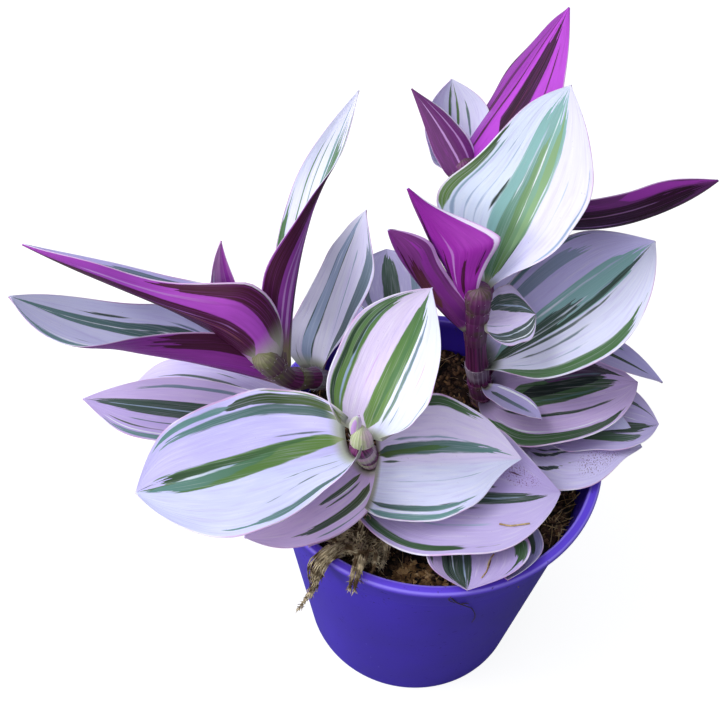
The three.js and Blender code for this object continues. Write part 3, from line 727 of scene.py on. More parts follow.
# %% Leaf table
LEAVES = {
    "left_2": dict(stem="left", at=0.7, tip=(-117, -11, 151), rise=(0, 0, 0.5), width=31, roll=(-60, 0),
                   cup=(110, 100, 18), widest=0.55, point=2.4, droop=(0, 0, -14)),
    "left_3": dict(stem="left", at=0.88, tip=(-32, 52.5, 183), rise=(-5, -3, -1), width=27,
                   roll=(100, 98, 85, 60, 20, 0), cup=(120, 90, 20), widest=0.35, point=1.4, base=0.5),
    "left_1": dict(stem="left", at=0.9, tip=(-119, 7, 153), rise=(9, 0, 4), width=38, roll=(-65, -30),
                   cup=(110, 100, 50), widest=0.3, point=1, base=0.35, foot=1.6, droop=(0, 0, -10)),
    "left_4": dict(stem="left", at=0.98, tip=(-63, 10, 160), rise=(-4, 0, -2), width=10, roll=(0, 20),
                   cup=(110, 60, 40), widest=0.5, point=1.6),
    "left_5": dict(stem="left", at=0.52, tip=(-26, 28, 161), rise=(-0.5, 4, -2), width=25,
                   cup=(110, 25, 10), widest=0.33, point=1.6),
    "left_6": dict(stem="low_left", at=0.97, tip=(-105, -8, 105), rise=(0, -1, 1), width=23,
                   cup=(110, 15, 10), widest=0.5, point=2.2),
    "left_7": dict(stem="low_left", at=0.7, tip=(-95, 11, 92), rise=(0, 3, 7), width=28, roll=(10, 10),
                   cup=(110, 15, 10), widest=0.5, point=2.2),
    "front_1": dict(stem="front", at=0.91, tip=(-75, -50, 124), rise=(0, -1.5, 1.5), width=47,
                    cup=(110, 20, 12), widest=0.5, point=3, base=0.5),
    "front_2": dict(stem="front", at=0.96, tip=(-4.7, -1.7, 164), rise=(0, 5, -5), width=35,
                    cup=(90, 45, 20), widest=0.42, point=2.6, base=0.65),
    "front_3": dict(stem="front", at=0.66, tip=(26.5, -14, 112), rise=(0, -2, 2), width=40, roll=(-25, -25),
                    cup=(50, 15, 12), widest=0.42, point=1.6, base=0.7, turn=-55),
    "front_4": dict(stem="front", at=0.4, tip=(39, -18, 104), rise=(0, -6, 3), width=42, roll=(-10, -10),
                    cup=(40, 15, 12), widest=0.45, point=2.4, base=0.75),
    "front_5": dict(stem="front", at=0.52, tip=(-47.5, -47, 104), rise=(2, -2, 2), width=28,
                    cup=(80, 15, 12), widest=0.5, point=2.4),
    "front_6": dict(stem="front", at=0.33, tip=(-29.4, -47, 104), rise=(0, 0, 2), width=16,
                    cup=(110, 20, 12), widest=0.5, point=2.2),
    "front_7": dict(stem="low_front", at=0.75, tip=(15.2, -50.5, 98.5), rise=(0, 0, 1.5), width=27,
                    cup=(80, 15, 15), widest=0.55, point=2.4),
    "front_8": dict(stem="low_front", at=0.55, tip=(26, -45.5, 98.5), rise=(3, 0, 0), width=25,
                    cup=(80, 15, 15), widest=0.5, point=2.4),
    "front_bud": dict(stem="front", at=0.99, tip=(-20, -23, 134), width=6, cup=(120, 120, 120), widest=0.4,
                      point=1.8),
    "tall_1": dict(stem="tall", at=0.72, tip=(-19, 28, 155), rise=(-1, -1, -2), width=29, roll=(-40, -70),
                   cup=(120, 80, 90), widest=0.6, point=2.6),
    "tall_2": dict(stem="tall", at=0.88, tip=(-15, 35, 165), rise=(1, 0, -2), width=44, roll=(-45, -85),
                   cup=(120, 60, 90), widest=0.52, point=1.1, base=0.25, foot=1.3),
    "tall_3": dict(stem="tall", at=0.97, tip=(25, 50, 194), rise=(1, 3, -3), width=43,
                   cup=(90, 20, 12), widest=0.45, point=2.4, base=0.25, foot=2),
    "tall_curl": dict(stem="tall", at=0.8, tip=(26, 25, 131), rise=(0, -0.5, -1.2), width=23, roll=(-5, -18),
                      cup=(60, 40, 50), widest=0.58, point=4, base=0.5, turn=-45),
    "tall_4": dict(stem="tall", at=0.43, tip=(58, 46, 146), rise=(0, -3, 1), width=43,
                   cup=(80, 15, 10), widest=0.5, point=2.8, base=0.4, foot=2),
    "top_1": dict(stem="top", at=0.94, tip=(23, 74, 202), rise=(0, 2, -2), width=40, roll=(-157, -160),
                  cup=(60, 25, 20), widest=0.45, point=1.8),
    "top_2": dict(stem="top", at=0.98, tip=(-18, 61, 179), rise=(2, 0, 0), width=13, roll=(-165, -165),
                  cup=(60, 30, 30), widest=0.35, point=1.5, base=0.8),
    "top_3": dict(stem="top", at=0.9, tip=(-7, 72, 176), rise=(0, 0, -4), width=22,
                  cup=(110, 40, 30), widest=0.6, point=3),
    "top_4": dict(stem="top", at=0.84, tip=(72, 55, 164), rise=(4, 0, -12), width=25, roll=(50, 60),
                  cup=(110, 60, 40), widest=0.7, point=3, base=0.3),
    "right_1": dict(stem="top", at=0.38, tip=(68.1, 23.9, 109), rise=(0, 0, 3.5), width=13,
                    cup=(110, 20, 12), widest=0.6, point=1.8),
    "right_2": dict(stem="tall", at=0.18, tip=(60.7, 23.6, 108), rise=(0, -6, 4), width=38, roll=(-8, -8),
                    cup=(80, 15, 12), widest=0.5, point=2.2),
    "right_3": dict(stem="right", at=0.75, tip=(64, 7, 97.5), rise=(0, -4, 5), width=30, roll=(-8, -8),
                    cup=(80, 6, 6), widest=0.5, point=2.2),
    "right_4": dict(stem="right", at=0.93, tip=(68.9, 15.5, 99), rise=(0, 0, 4), width=27,
                    cup=(80, 8, 8), widest=0.5, point=3),
    "right_5": dict(stem="tall", at=0.3, tip=(31.8, 3.9, 109), rise=(0, -1, 1), width=9,
                    cup=(80, 20, 12), widest=0.5, point=2.2),
    "back_1": dict(stem="back", at=0.9, tip=(-22, 60, 116), width=26, cup=(80, 20, 12),
                   widest=0.5, point=2.6),
    "back_2": dict(stem="back", at=0.6, tip=(-40, 70, 78), rise=(0, 2, 9), width=27, cup=(80, 20, 12),
                   widest=0.5, point=2.4),
    "back_3": dict(stem="top", at=0.3, tip=(14, 90, 76), rise=(0, 2, 12), width=26, cup=(80, 20, 12),
                   widest=0.5, point=2.4),
    "back_4": dict(stem="top", at=0.34, tip=(50, 76, 84), rise=(0, 2, 9), width=30, cup=(80, 20, 12),
                   widest=0.5, point=2.4),
    "back_5": dict(stem="top", at=0.62, tip=(12, 96, 128), rise=(0, 0, 5), width=26, cup=(80, 20, 12),
                   widest=0.5, point=2.4),
}
print("leaves:", len(LEAVES))

# %% [markdown]
# ## Uneven margins
# No real blade is the same on both sides of its midrib. For the leaves that face the camera, these rows
# say how much wider or narrower each margin runs than the plain outline, in even steps from base to tip:
# the left margin first, then the right one. A single 1 leaves that side as it is.

# %% Margins
PLAIN_EDGE = (1,)
EDGES = {
    "front_1": ((1, .8, .66, .76, .9, 1, 1.03, .97, .9, .88, .88),
                (1, 1, 1, 1.02, 1, .96, .92, .88, .93, 1.03, 1.05)),
    "front_3": ((1, 1, 1, 1, 1, 1, 1, 1.05, 1.15, 1.2, 1.2),
                (1.2, 1, .91, .88, .86, .84, .84, .83, .6, .42, .4)),
    "front_4": ((1, 1, 1, 1, 1, 1, 1, 1, .95, .92, .9),
                (1.1, 1.15, 1.16, 1.18, 1.17, 1.08, 1.05, 1.02, .96, .9, .9)),
    "front_7": ((1, 1, 1.1, 1.2, 1.25, 1.3, 1.35, 1.35, 1.4, 1.6, 1.7),
                (1, 1, 1, 1, 1, 1, 1, .95, 1.1, 1.3, 1.4)),
    "left_1": ((1.2, 1.2, 1.25, 1.15, 1.05, .95, .9, 1.15, 1.8, 2.5, 3),
               (1, 1, 1, 1, 1, 1, 1, 1.1, 1.2, 1.3, 1.3)),
    "left_2": ((1, 1, 1, 1, 1, 1, 1.05, 1.4, 1.8, 2, 2.2), (1, 1, 1, 1, 1.1, 1.15, .95, .85, .85, .9, 1)),
    "left_3": (PLAIN_EDGE, (.7, .64, .66, .78, .81, .75, .6, .8, 1, 1, 1)),
    "left_5": ((1.5, 1.28, 1.08, .93, .85, .82, .83, .93, .9, 1, 1),
               (.3, .3, .4, .58, .7, .9, 1.12, 1.4, 1.9, 1.8, 1.6)),
    "left_6":((1, 1, 1, 1.1, 1.15, 1.2, 1.27, 1.35, 1.35, 1.2, 1.1), (1, 1, 1, 1, 1, 1, 1, .95, .9, .9, .9)),
    "left_7": (PLAIN_EDGE, (1, 1, .8, .7, .62, .6, .56, .58, .62, .85, .9)),
    "tall_1": ((.85, .85, .85, .8, .7, .68, .65, .68, .85, .85, .9), PLAIN_EDGE),
    "tall_2": ((.75, .75, .78, .8, .88, 1, .93, .8, .65, .5, .5), PLAIN_EDGE),
    "tall_3": ((1, 1, 1.2, 1.25, 1.1, .9, .79, .76, .78, .88, .9),
               (.5, .55, .67, .78, .85, .9, .96, 1, 1.02, 1.1, 1.1)),
    "tall_4": ((1, 1, 1, 1, 1, 1, 1, 1, 1.05, 1.05, 1),
               (.6, .7, .9, 1.05, 1.15, 1.2, 1.22, 1.23, 1.2, 1.15, 1.1)),
    "right_2": (PLAIN_EDGE, (1, 1, 1, 1.08, 1.1, 1.08, 1.05, 1, 1, 1, 1)),
    "right_3": (PLAIN_EDGE, (1.2, 1.2, 1.25, 1.3, 1.35, 1.28, 1.1, .79, .5, .4, .4)),
}
for name, edges in EDGES.items():
    LEAVES[name]["edges"] = edges
print("leaves with their own margins:", len(EDGES))


# %% Stem tubes
def stem_thickness(name, share):
    """The stem's radius in millimetres: swollen at the nodes, tapered at the growing tip."""
    swell = np.zeros_like(share)
    for leaf in LEAVES.values():
        if "stem_" + leaf["stem"] == name:
            swell = np.maximum(swell, np.exp(-((share - leaf["at"]) / NODE_LENGTH) ** 2))
    end = np.maximum(0, share - 1 + STEM_END) / STEM_END
    return STEMS[name][0] * (1 + NODE_SWELL * swell) * np.sqrt(1 - 0.85 * end ** 2)


def tube_marks(tree, ribs):
    """For a tube: its two ways round, its way along in metres, and raised ribs all round it."""
    around = add(tree, "ShaderNodeAttribute", attribute_name="around").outputs["Vector"]
    along = add(tree, "ShaderNodeAttribute", attribute_name="along").outputs["Fac"]
    x, y, _ = split(tree, around)
    return x, y, along, sums(tree, "COSINE", times(tree, sums(tree, "ARCTAN2", y, x), ribs))


STEM_DARK, STEM_LIGHT, STEM_RIB = paint("#3c1234"), paint("#7c2c6c"), paint("#9a5a86")
STEM_RIBS, STREAKS_ROUND, STREAKS_ALONG = 18.0, 5.0, 60.0
STEM_ROUGHNESS, STEM_GLOW, STEM_GLOW_DEPTH, STEM_RELIEF = 0.42, 0.1, 0.002, 0.0003

stem_skin, tree, shader = finish_named("stem_skin")
x, y, along, ribs = tube_marks(tree, STEM_RIBS)
x, y, along = times(tree, x, STREAKS_ROUND), times(tree, y, STREAKS_ROUND), times(tree, along, STREAKS_ALONG)
stretched = add(tree, "ShaderNodeCombineXYZ", {0: x, 1: y, 2: along}).outputs[0]
streak = clouds(tree, stretched, 1.0, 4.0)
colour = blend_colours(tree, ramp(tree, streak, 0.35, 0.65), STEM_DARK, STEM_LIGHT)
colour = tinted(tree, colour, STEM_RIB, ramp(tree, ribs, 0.2, 1.0), 0.3)
relief = sums(tree, "ADD", times(tree, ribs, 0.5), streak)
feed(tree, shader, {"Base Color": colour, "Roughness": STEM_ROUGHNESS, "Subsurface Weight": STEM_GLOW,
                    "Subsurface Scale": STEM_GLOW_DEPTH, "Normal": bump(tree, relief, 0.5, STEM_RELIEF)})

share = np.linspace(0, 1, STEM_RINGS + 1)
for name in STEMS:
    path = PATHS[name][np.round(share * PATH_STEPS).astype(int)]
    line = lines_mesh(name + "_line", [(path, stem_thickness(name, share))])
    stem = grown(name.replace("stem_", "shoot_"), line, TUBE, {"Sides": STEM_SIDES, "Finish": stem_skin})
    settle(stem, "stem", name)
print("stems:", len(STEMS))

# %% [markdown]
# ## Node sheaths
# At each node the leaf's base wraps the stem in a short papery sleeve, pale on the front shoots, olive
# on the left one and mostly dark elsewhere, with fine hairs at its mouth. A ring would look like
# hardware, so each sleeve follows the stem's curve and swells towards its mouth. At a growing tip the
# sleeve closes over the bud, which hides the stem's end.

# %% Sheaths
SLEEVE, SLEEVE_TOP, SLEEVE_GAP, SLEEVE_SIDES = 6.5, 0.8, 0.2, 20
SLEEVE_FLARE = np.array([-.15, 0, .05, .1, .15, .2, .25, .3, .2])
HAIRS, HAIR, HAIR_SHAPE, HAIR_SIDES, MOUTH = 14, 1.7, [0.07, 0.06, 0.02], 3, 7
TIP_FROM, BELOW_NODE = 0.9, 0.9
SLEEVE_KINDS = {"front": "pale", "low_front": "pale", "left": "olive"}
ODD_SLEEVES = {"tall_4": "papery", "left_5": "grey"}
TIP_REACH, TIP_SHAPE = 2.0, (.92, .78, .6, .42, .24, .08)
FUNNEL = [(-17.8, -19.5, 112.5), (-18.3, -22.2, 117.5), (-18.6, -23, 121.5), (-18.8, -23.1, 125),
          (-18.9, -22.3, 128.5)]
FUNNEL_SHAPE = np.array([.96, .96, .95, .95, .94, .94, .93, .9, .8, .56, .2])


def sleeve(name, at):
    """The line and the radii of one sleeve."""
    path = PATHS[name]
    step = np.linalg.norm(path[1] - path[0])
    top = int(round(at * PATH_STEPS))
    low, high = max(0, top - int(SLEEVE / step)), min(PATH_STEPS, top + int(SLEEVE_TOP / step))
    line = path[np.linspace(low, high, len(SLEEVE_FLARE)).astype(int)]
    size = stem_thickness(name, np.array([at * BELOW_NODE]))[0]
    radii = size + SLEEVE_GAP + SLEEVE_FLARE
    if at > TIP_FROM and name == "stem_front":
        line, radii = smooth_path(FUNNEL, len(FUNNEL_SHAPE)), (size + SLEEVE_GAP) * FUNNEL_SHAPE
    elif at > TIP_FROM:
        way = unit(path[-1] - path[-21])
        line = np.vstack([line[:-1], path[-1] + way * np.linspace(0.4, TIP_REACH, len(TIP_SHAPE))[:, None]])
        radii = np.concatenate([radii[:-1], size * np.array(TIP_SHAPE)])
    return line, radii


def sleeve_hairs(chance, line, radii):
    """Fine hairs that stand round the mouth of a sleeve."""
    way = unit(line[MOUTH] - line[MOUTH - 1])
    side = unit(np.cross(way, (0.3, 0.5, 0.81)))
    other = np.cross(way, side)
    hairs = []
    for i in range(HAIRS):
        turn = 2 * math.pi * (i + chance.random()) / HAIRS
        out = side * math.cos(turn) + other * math.sin(turn)
        foot = line[MOUTH] + out * radii[MOUTH] * 0.97
        end = foot + way * HAIR * chance.uniform(0.5, 1) + out * HAIR * chance.uniform(0.2, 0.6)
        hairs.append((np.array([foot, (foot + end) / 2 + out * 0.12, end]), HAIR_SHAPE))
    return hairs


SHEATH_RIBS, SHEATH_PATCHES, SHEATH_ROUGHNESS, SHEATH_RELIEF = 16.0, 170.0, 0.5, 0.0002
FOOT_MAROON, FOOT_REACH = paint("#5c2450"), 0.004


def sheath_finish(name, skin, flush, rib):
    """Papery sheath: two patchy tones with raised ribs, darker at its foot."""
    made, tree, shader = finish_named(name)
    _, _, along, ribs = tube_marks(tree, SHEATH_RIBS)
    patchy = clouds(tree, own_place(tree), SHEATH_PATCHES, 4.0)
    colour = blend_colours(tree, ramp(tree, patchy, 0.4, 0.6), paint(skin), paint(flush))
    colour = blend_colours(tree, ramp(tree, along, FOOT_REACH, 0.0), colour, FOOT_MAROON)
    colour = tinted(tree, colour, paint(rib), ramp(tree, ribs, 0.3, 1.0), 0.3)
    feed(tree, shader, {"Base Color": colour, "Roughness": SHEATH_ROUGHNESS,
                        "Normal": bump(tree, ribs, 0.3, SHEATH_RELIEF)})
    return made


def thread_finish(name, dark, light, scale, roughness):
    """A plain finish for fine threads, in two cloudy tones."""
    made, tree, shader = finish_named(name)
    patchy = clouds(tree, own_place(tree), scale)
    feed(tree, shader, {"Base Color": blend_colours(tree, patchy, paint(dark), paint(light)),
                        "Roughness": roughness})
    return made


SHEATHS = {
    "pale": sheath_finish("pale_sheath", "#a9b184", "#c9a8ba", "#e2dcc8"),
    "olive": sheath_finish("olive_sheath", "#6e6e48", "#6c565c", "#98946e"),
    "grey": sheath_finish("grey_sheath", "#8c948e", "#8a7a98", "#b8b8bc"),
    "papery": sheath_finish("papery_sheath", "#a898aa", "#7c6478", "#d6ccd6"),
    "dark": sheath_finish("dark_sheath", "#6e2a66", "#58483c", "#93688a")}
hair_white = thread_finish("sheath_hair", "#c9b9cc", "#f2ecf4", 300.0, 0.6)

sleeves = {kind: [] for kind in SHEATHS}
for name, leaf in LEAVES.items():
    topmost = max(other["at"] for other in LEAVES.values() if other["stem"] == leaf["stem"])
    if TIP_FROM < leaf["at"] < topmost:
        continue
    kind = ODD_SLEEVES.get(name, SLEEVE_KINDS.get(leaf["stem"], "dark"))
    sleeves[kind].append(sleeve("stem_" + leaf["stem"], leaf["at"]))
chance = random.Random(12)
hairs = []
for kind in SHEATHS:
    for line, radii in sleeves[kind]:
        hairs += sleeve_hairs(chance, line, radii)
tubes = [grown(kind + "_sleeves", lines_mesh(kind + "_lines", sleeves[kind]), TUBE,
               {"Sides": SLEEVE_SIDES, "Finish": finish}) for kind, finish in SHEATHS.items()]
tubes.append(grown("sleeve_hairs", lines_mesh("hair_lines", hairs), TUBE,
                   {"Sides": HAIR_SIDES, "Finish": hair_white}))
settle(joined("node_sheaths", *tubes), "stem")
print("sleeves:", sum(map(len, sleeves.values())), "hairs:", len(hairs))

# %% [markdown]
# ## Blades
# A blade is a thin sheet bent along its midrib and cupped on each side of it, clasping the stem at its
# base. It is built as rows of points across the midrib: the upper skin, the lower skin and the thin rim
# between them. The UV map holds the place across (0 left margin, 1 right) and along (0 base, 1 tip), so
# that the stripes later run with the veins and draw together at both ends, as they do on the plant.

# %% Blade shape
SHEATH_END, KEEL, BLADE, MARGIN = 0.28, math.radians(6), 0.6, 0.16
NARROWEST, STEM_GAP, BELL_REACH = 0.06, 0.3, 20
ROWS, TIP_CROWDING = 44, 1.15
WAVE, WAVES, PUCKER, PUCKERS = 0.012, 15, 0.006, 9
ACROSS = np.array([-1, -0.975, -0.92, -0.83, -0.72, -0.6, -0.48, -0.36, -0.24, -0.13, -0.05, 0,
                   0.05, 0.13, 0.24, 0.36, 0.48, 0.6, 0.72, 0.83, 0.92, 0.975, 1])


def between(values, s):
    """Values spaced evenly from base to tip, read at s without corners."""
    fine = np.linspace(-0.3, 1.3, 321)
    line = np.interp(fine, np.linspace(0, 1, len(values)), values)
    if len(values) > 2:
        bell = np.exp(-np.linspace(-2, 2, 2 * BELL_REACH + 1) ** 2)
        line = np.convolve(np.pad(line, BELL_REACH, mode="edge"), bell / bell.sum(), mode="valid")
    return np.interp(s, fine, line)


def midrib(leaf, start):
    """The four control points of the midrib's curve."""
    start, tip = np.asarray(start, float), np.asarray(leaf["tip"], float)
    bow = np.asarray(leaf.get("rise", (0, 0, 0)), float) * 4 / 3
    droop = np.asarray(leaf.get("droop", (0, 0, 0)), float)
    first, second = start + (tip - start) / 3 + bow, start + (tip - start) * 2 / 3 + bow + droop
    return np.array([start, first, second, tip])


def rib_point(rib, s):
    """Points on the midrib's curve at places s along it."""
    s = np.asarray(s, float)[:, None]
    r = 1 - s
    return r ** 3 * rib[0] + 3 * s * r ** 2 * rib[1] + 3 * s ** 2 * r * rib[2] + s ** 3 * rib[3]


def rib_frame(leaf, rib, s):
    """At each place along the midrib: its direction, the way across the blade and the way out of it."""
    s = np.asarray(s, float)
    t = s[:, None]
    r = 1 - t
    along = unit(r ** 2 * (rib[1] - rib[0]) + 2 * t * r * (rib[2] - rib[1]) + t ** 2 * (rib[3] - rib[2]))
    chord = rib[3] - rib[0]
    level = unit(np.array([chord[1], -chord[0], 0.0]))
    up = unit(np.cross(level, along))
    across = unit(np.cross(along, up))
    turn = np.radians(between(leaf.get("roll", (0, 0)), s))[:, None]
    return along, across * np.cos(turn) + up * np.sin(turn), up * np.cos(turn) - across * np.sin(turn)


def leaf_rib(leaf):
    """The midrib from the stem's skin to the tip."""
    name = "stem_" + leaf["stem"]
    axis = PATHS[name][int(round(leaf["at"] * PATH_STEPS))]
    along, _, normal = rib_frame(leaf, midrib(leaf, axis), [0.0])
    outward = unit((along - normal)[0] * (1, 1, 0))
    turn = math.radians(leaf.get("turn", 0))
    c, s = math.cos(turn), math.sin(turn)
    outward = np.array([outward[0] * c - outward[1] * s, outward[0] * s + outward[1] * c, 0])
    reach = stem_thickness(name, np.array([leaf["at"]]))[0] + STEM_GAP
    return midrib(leaf, axis + outward * reach)


def blade_width(leaf, s):
    """Half the blade's width along its length."""
    widest, base, foot = leaf["widest"], leaf.get("base", 0.38), leaf.get("foot", 3)
    inner = 1 - (1 - base) * np.maximum(0, 1 - s / widest) ** foot
    outer = 1 - np.maximum(0, (s - widest) / (1 - widest)) ** leaf["point"]
    return np.maximum(NARROWEST, leaf["width"] / 2 * np.where(s < widest, inner, outer))


def by_side(pair, s, v):
    """Values along the blade for its left side (v below 0) and its right side, as one grid."""
    left, right = (between(side, s)[:, None] for side in pair)
    return np.where(np.asarray(v) < 0, left, right)


def blade_points(leaf, rib, s, v, lift):
    """Points of the blade at places s along it and v across it, lifted off its skin."""
    _, side, normal = rib_frame(leaf, rib, s)
    base, middle, tip = leaf["cup"]
    settled = middle + (tip - middle) * np.maximum(0, (s - SHEATH_END) / (1 - SHEATH_END))
    cup = np.radians(settled + (base - middle) * np.maximum(0, 1 - s / SHEATH_END) ** 2)[:, None]
    half = blade_width(leaf, s)[:, None] * by_side(leaf.get("edges", (PLAIN_EDGE, PLAIN_EDGE)), s, v)
    turn = KEEL + cup * np.abs(v)
    out = half * (np.sin(turn) - math.sin(KEEL)) / cup
    rise = half * (math.cos(KEEL) - np.cos(turn)) / cup
    tilt = np.where(v == 0, 0, turn)
    x = np.sign(v) * (out - lift * np.sin(tilt))
    y = rise + lift * np.cos(tilt)
    return rib_point(rib, s)[:, None, :] + side[:, None, :] * x[..., None] + normal[:, None, :] * y[..., None]


print("blade columns:", len(ACROSS), "rows:", ROWS + 1)


# %% Blade mesh
def blade_mesh(name, leaf, upper, lower):
    """The closed blade: upper skin, lower skin and rim."""
    rib = leaf_rib(leaf)
    s = 1 - (1 - np.linspace(0, 1, ROWS + 1)) ** TIP_CROWDING
    seed = sum(map(ord, name))
    down = s[:, None]
    ease = leaf["width"] * np.sin(np.pi * np.clip(down, 0, 1))
    edge = np.abs(ACROSS) ** 3
    wave = WAVE * ease * edge * np.sin(down * WAVES + seed + 1.7 * np.sign(ACROSS))
    pucker = PUCKER * ease * np.sin(ACROSS * PUCKERS + seed) * np.sin(down * PUCKERS + 2 * seed)
    lift = wave + pucker * (1 - edge)
    thick = MARGIN + (BLADE - MARGIN) * (1 - np.abs(ACROSS) ** 2)
    top = blade_points(leaf, rib, s, ACROSS, lift)
    bottom = blade_points(leaf, rib, s, ACROSS, lift - thick)
    rows, columns = len(s), len(ACROSS)
    skin = rows * columns
    points = np.concatenate([top.reshape(-1, 3), bottom.reshape(-1, 3)]) * MM
    i, j = np.meshgrid(np.arange(rows - 1), np.arange(columns - 1), indexing="ij")
    a = (i * columns + j).ravel()
    faces = np.stack([a, a + 1, a + columns + 1, a + columns], 1).tolist()
    faces += (np.stack([a, a + columns, a + columns + 1, a + 1], 1) + skin).tolist()
    a, b = np.arange(rows - 1) * columns, np.arange(columns - 1)
    rim = np.concatenate([
        np.stack([a, a + columns, skin + a + columns, skin + a], 1),
        np.stack([skin + a, skin + a + columns, a + columns, a], 1) + columns - 1,
        np.stack([b, skin + b, skin + b + 1, b + 1], 1),
        np.stack([b, b + 1, skin + b + 1, skin + b], 1) + (rows - 1) * columns])
    faces += rim.tolist()
    per_skin = (rows - 1) * (columns - 1)
    which = [0] * per_skin + [1] * per_skin + [0] * len(rim)
    uv = np.stack(np.broadcast_arrays((ACROSS + 1)[None, :] / 2, s[:, None]), -1).reshape(-1, 2)
    return piece_from(name, points, faces, np.concatenate([uv, uv]), [upper, lower], which)


print("blade mesh ready")

# %% [markdown]
# ## Clasping bases
# Three leaves of the left shoot don't sit on their stem, they wrap it: the foot of the blade is a fleshy
# tube, green to olive, that opens into the blade. Each is a tapered tube laid in the hollow of its blade,
# from the stem up along the midrib, so that it fills the fold where the two margins meet.

# %% Clasps
# Each clasp: its finish, how far it reaches along its blade and its radius.
CLASPS = {"left_3": ("olive", .15, 3.6), "left_1": ("pale", .1, 3.2), "left_2": ("olive", .12, 3.0)}
CLASP_SHAPE = np.array([1, 1, 1, .98, .92, .8, .58, .2])


def clasp(name, reach, radius):
    """The line and the radii of the fleshy foot of one blade."""
    leaf = LEAVES[name]
    rib, s = leaf_rib(leaf), np.linspace(0, reach, len(CLASP_SHAPE))
    radii = radius * CLASP_SHAPE
    line = rib_point(rib, s) + rib_frame(leaf, rib, s)[2] * (radii * 0.85)[:, None]
    return line, radii


feet = []
for name, (kind, reach, radius) in CLASPS.items():
    foot_line = lines_mesh("foot_line", [clasp(name, reach, radius)])
    feet.append(grown("foot_" + name, foot_line, TUBE, {"Sides": SLEEVE_SIDES, "Finish": SHEATHS[kind]}))
settle(joined("leaf_clasps", *feet), "stem")
print("clasping bases:", len(feet))

# %% [markdown]
# ## The stripe and the grain of a leaf
# Each stripe of the plant keeps its place between the midrib and the margin, frays along the veins and
# ends in a ragged point. A noise pattern can't do that, so one group draws one stripe from its place
# across, its width and its two ends. A second group gives the streaks, veins and specks that run with
# the blade. Both read the UV map, so the markings follow each leaf however it bends.

# %% Grain group
# Each marking: how often it repeats across and along a blade, and the detail of its noise.
MARKINGS = {"Streaks": (36.0, 5.0, 3.0), "Veins": (130.0, 3.0, 2.0), "Specks": (60.0, 120.0, 2.0)}


def grain_group():
    """Place across (-1 to 1) and along a blade, with streaks, fine veins and specks that follow it."""
    results = [(label, FLOAT) for label in ("Across", "Along", *MARKINGS)]
    tree, given, out = group_named("Leaf grain", [("UV", VECTOR, None), ("Seed", FLOAT, 0.0)], results)
    u, v, _ = split(tree, given["UV"])
    tree.links.new(sums(tree, "MULTIPLY_ADD", u, 2.0, -1.0), out["Across"])
    tree.links.new(v, out["Along"])
    for label, (wide, long, detail) in MARKINGS.items():
        spot = add(tree, "ShaderNodeCombineXYZ", {0: times(tree, u, wide), 1: times(tree, v, long),
                                                  2: given["Seed"]}).outputs[0]
        tree.links.new(clouds(tree, spot, 1.0, detail), out[label])
    return tree


GRAIN = grain_group()
print("grain nodes:", len(GRAIN.nodes))


# %% Stripe group
STRIPE_FRAY, STRIPE_SOFT = 0.07, 0.024
# The six numbers that every stripe of the tables below starts with.
STRIPE_NUMBERS = ("Centre", "End Centre", "Half Width", "End Half Width", "Start", "End")


def stripe_group():
    """Mask of one stripe, and the share of its length that lies behind a point."""
    labels = ("Across", "Along", "Streaks", *STRIPE_NUMBERS, "Bow")
    tree, given, out = group_named("Leaf stripe", [(label, FLOAT, 0.0) for label in labels],
                                   [("Mask", FLOAT), ("Share", FLOAT)])
    share = add(tree, "ShaderNodeMapRange", {"Value": given["Along"], "From Min": given["Start"],
                                             "From Max": given["End"]}).outputs[0]
    left_over = sums(tree, "SUBTRACT", 1.0, share)
    centre, wide = (
        add(tree, "ShaderNodeMix", {0: share, 2: given[label], 3: given["End " + label]}).outputs[0]
        for label in ("Centre", "Half Width"))
    bend = times(tree, times(tree, times(tree, share, left_over), 4.0), given["Bow"])
    fray = sums(tree, "SUBTRACT", given["Streaks"], 0.5)
    since = sums(tree, "SUBTRACT", given["Along"], given["Start"])
    until = sums(tree, "SUBTRACT", sums(tree, "MULTIPLY_ADD", fray, 0.5, given["End"]), given["Along"])
    taper = times(tree, ramp(tree, since, -0.02, 0.08), ramp(tree, until, -0.02, 0.14))
    wide = times(tree, sums(tree, "MULTIPLY_ADD", fray, STRIPE_FRAY, wide), taper)
    off = sums(tree, "ABSOLUTE", sums(tree, "SUBTRACT", given["Across"], sums(tree, "ADD", centre, bend)))
    tree.links.new(ramp(tree, sums(tree, "SUBTRACT", wide, off), 0.0, STRIPE_SOFT), out["Mask"])
    tree.links.new(share, out["Share"])
    return tree


STRIPE = stripe_group()
print("stripe nodes:", len(STRIPE.nodes))

# %% [markdown]
# ## The markings of every leaf
# The tones are few: greens, teals and greys on top, maroon and plum below. Each leaf names its two ground
# colours, left and right of the midrib, and its stripes from the most important to the finest. A stripe
# is its centre at both ends, half its width at both ends, where it starts and ends along the leaf, and
# its tone at both ends. A last number, where there is one, bows it sideways.

# %% Tones
TONES = {"green": "#4c7443", "olive": "#67893f", "dark": "#2f4630", "black": "#1a2825", "teal": "#66908c",
         "grey": "#74879a", "mist": "#a2b4d0", "white": "#f3f8ff", "maroon": "#451530", "plum": "#2e0c26",
         "purple": "#6c2a76", "magenta": "#9d38aa", "pink": "#cf9fdc", "brown": "#6d4040", "rose": "#a878b4",
         "slate": "#42574f", "sage": "#86a878", "aqua": "#8cbab6", "moss": "#465a26"}
print("tones:", len(TONES))

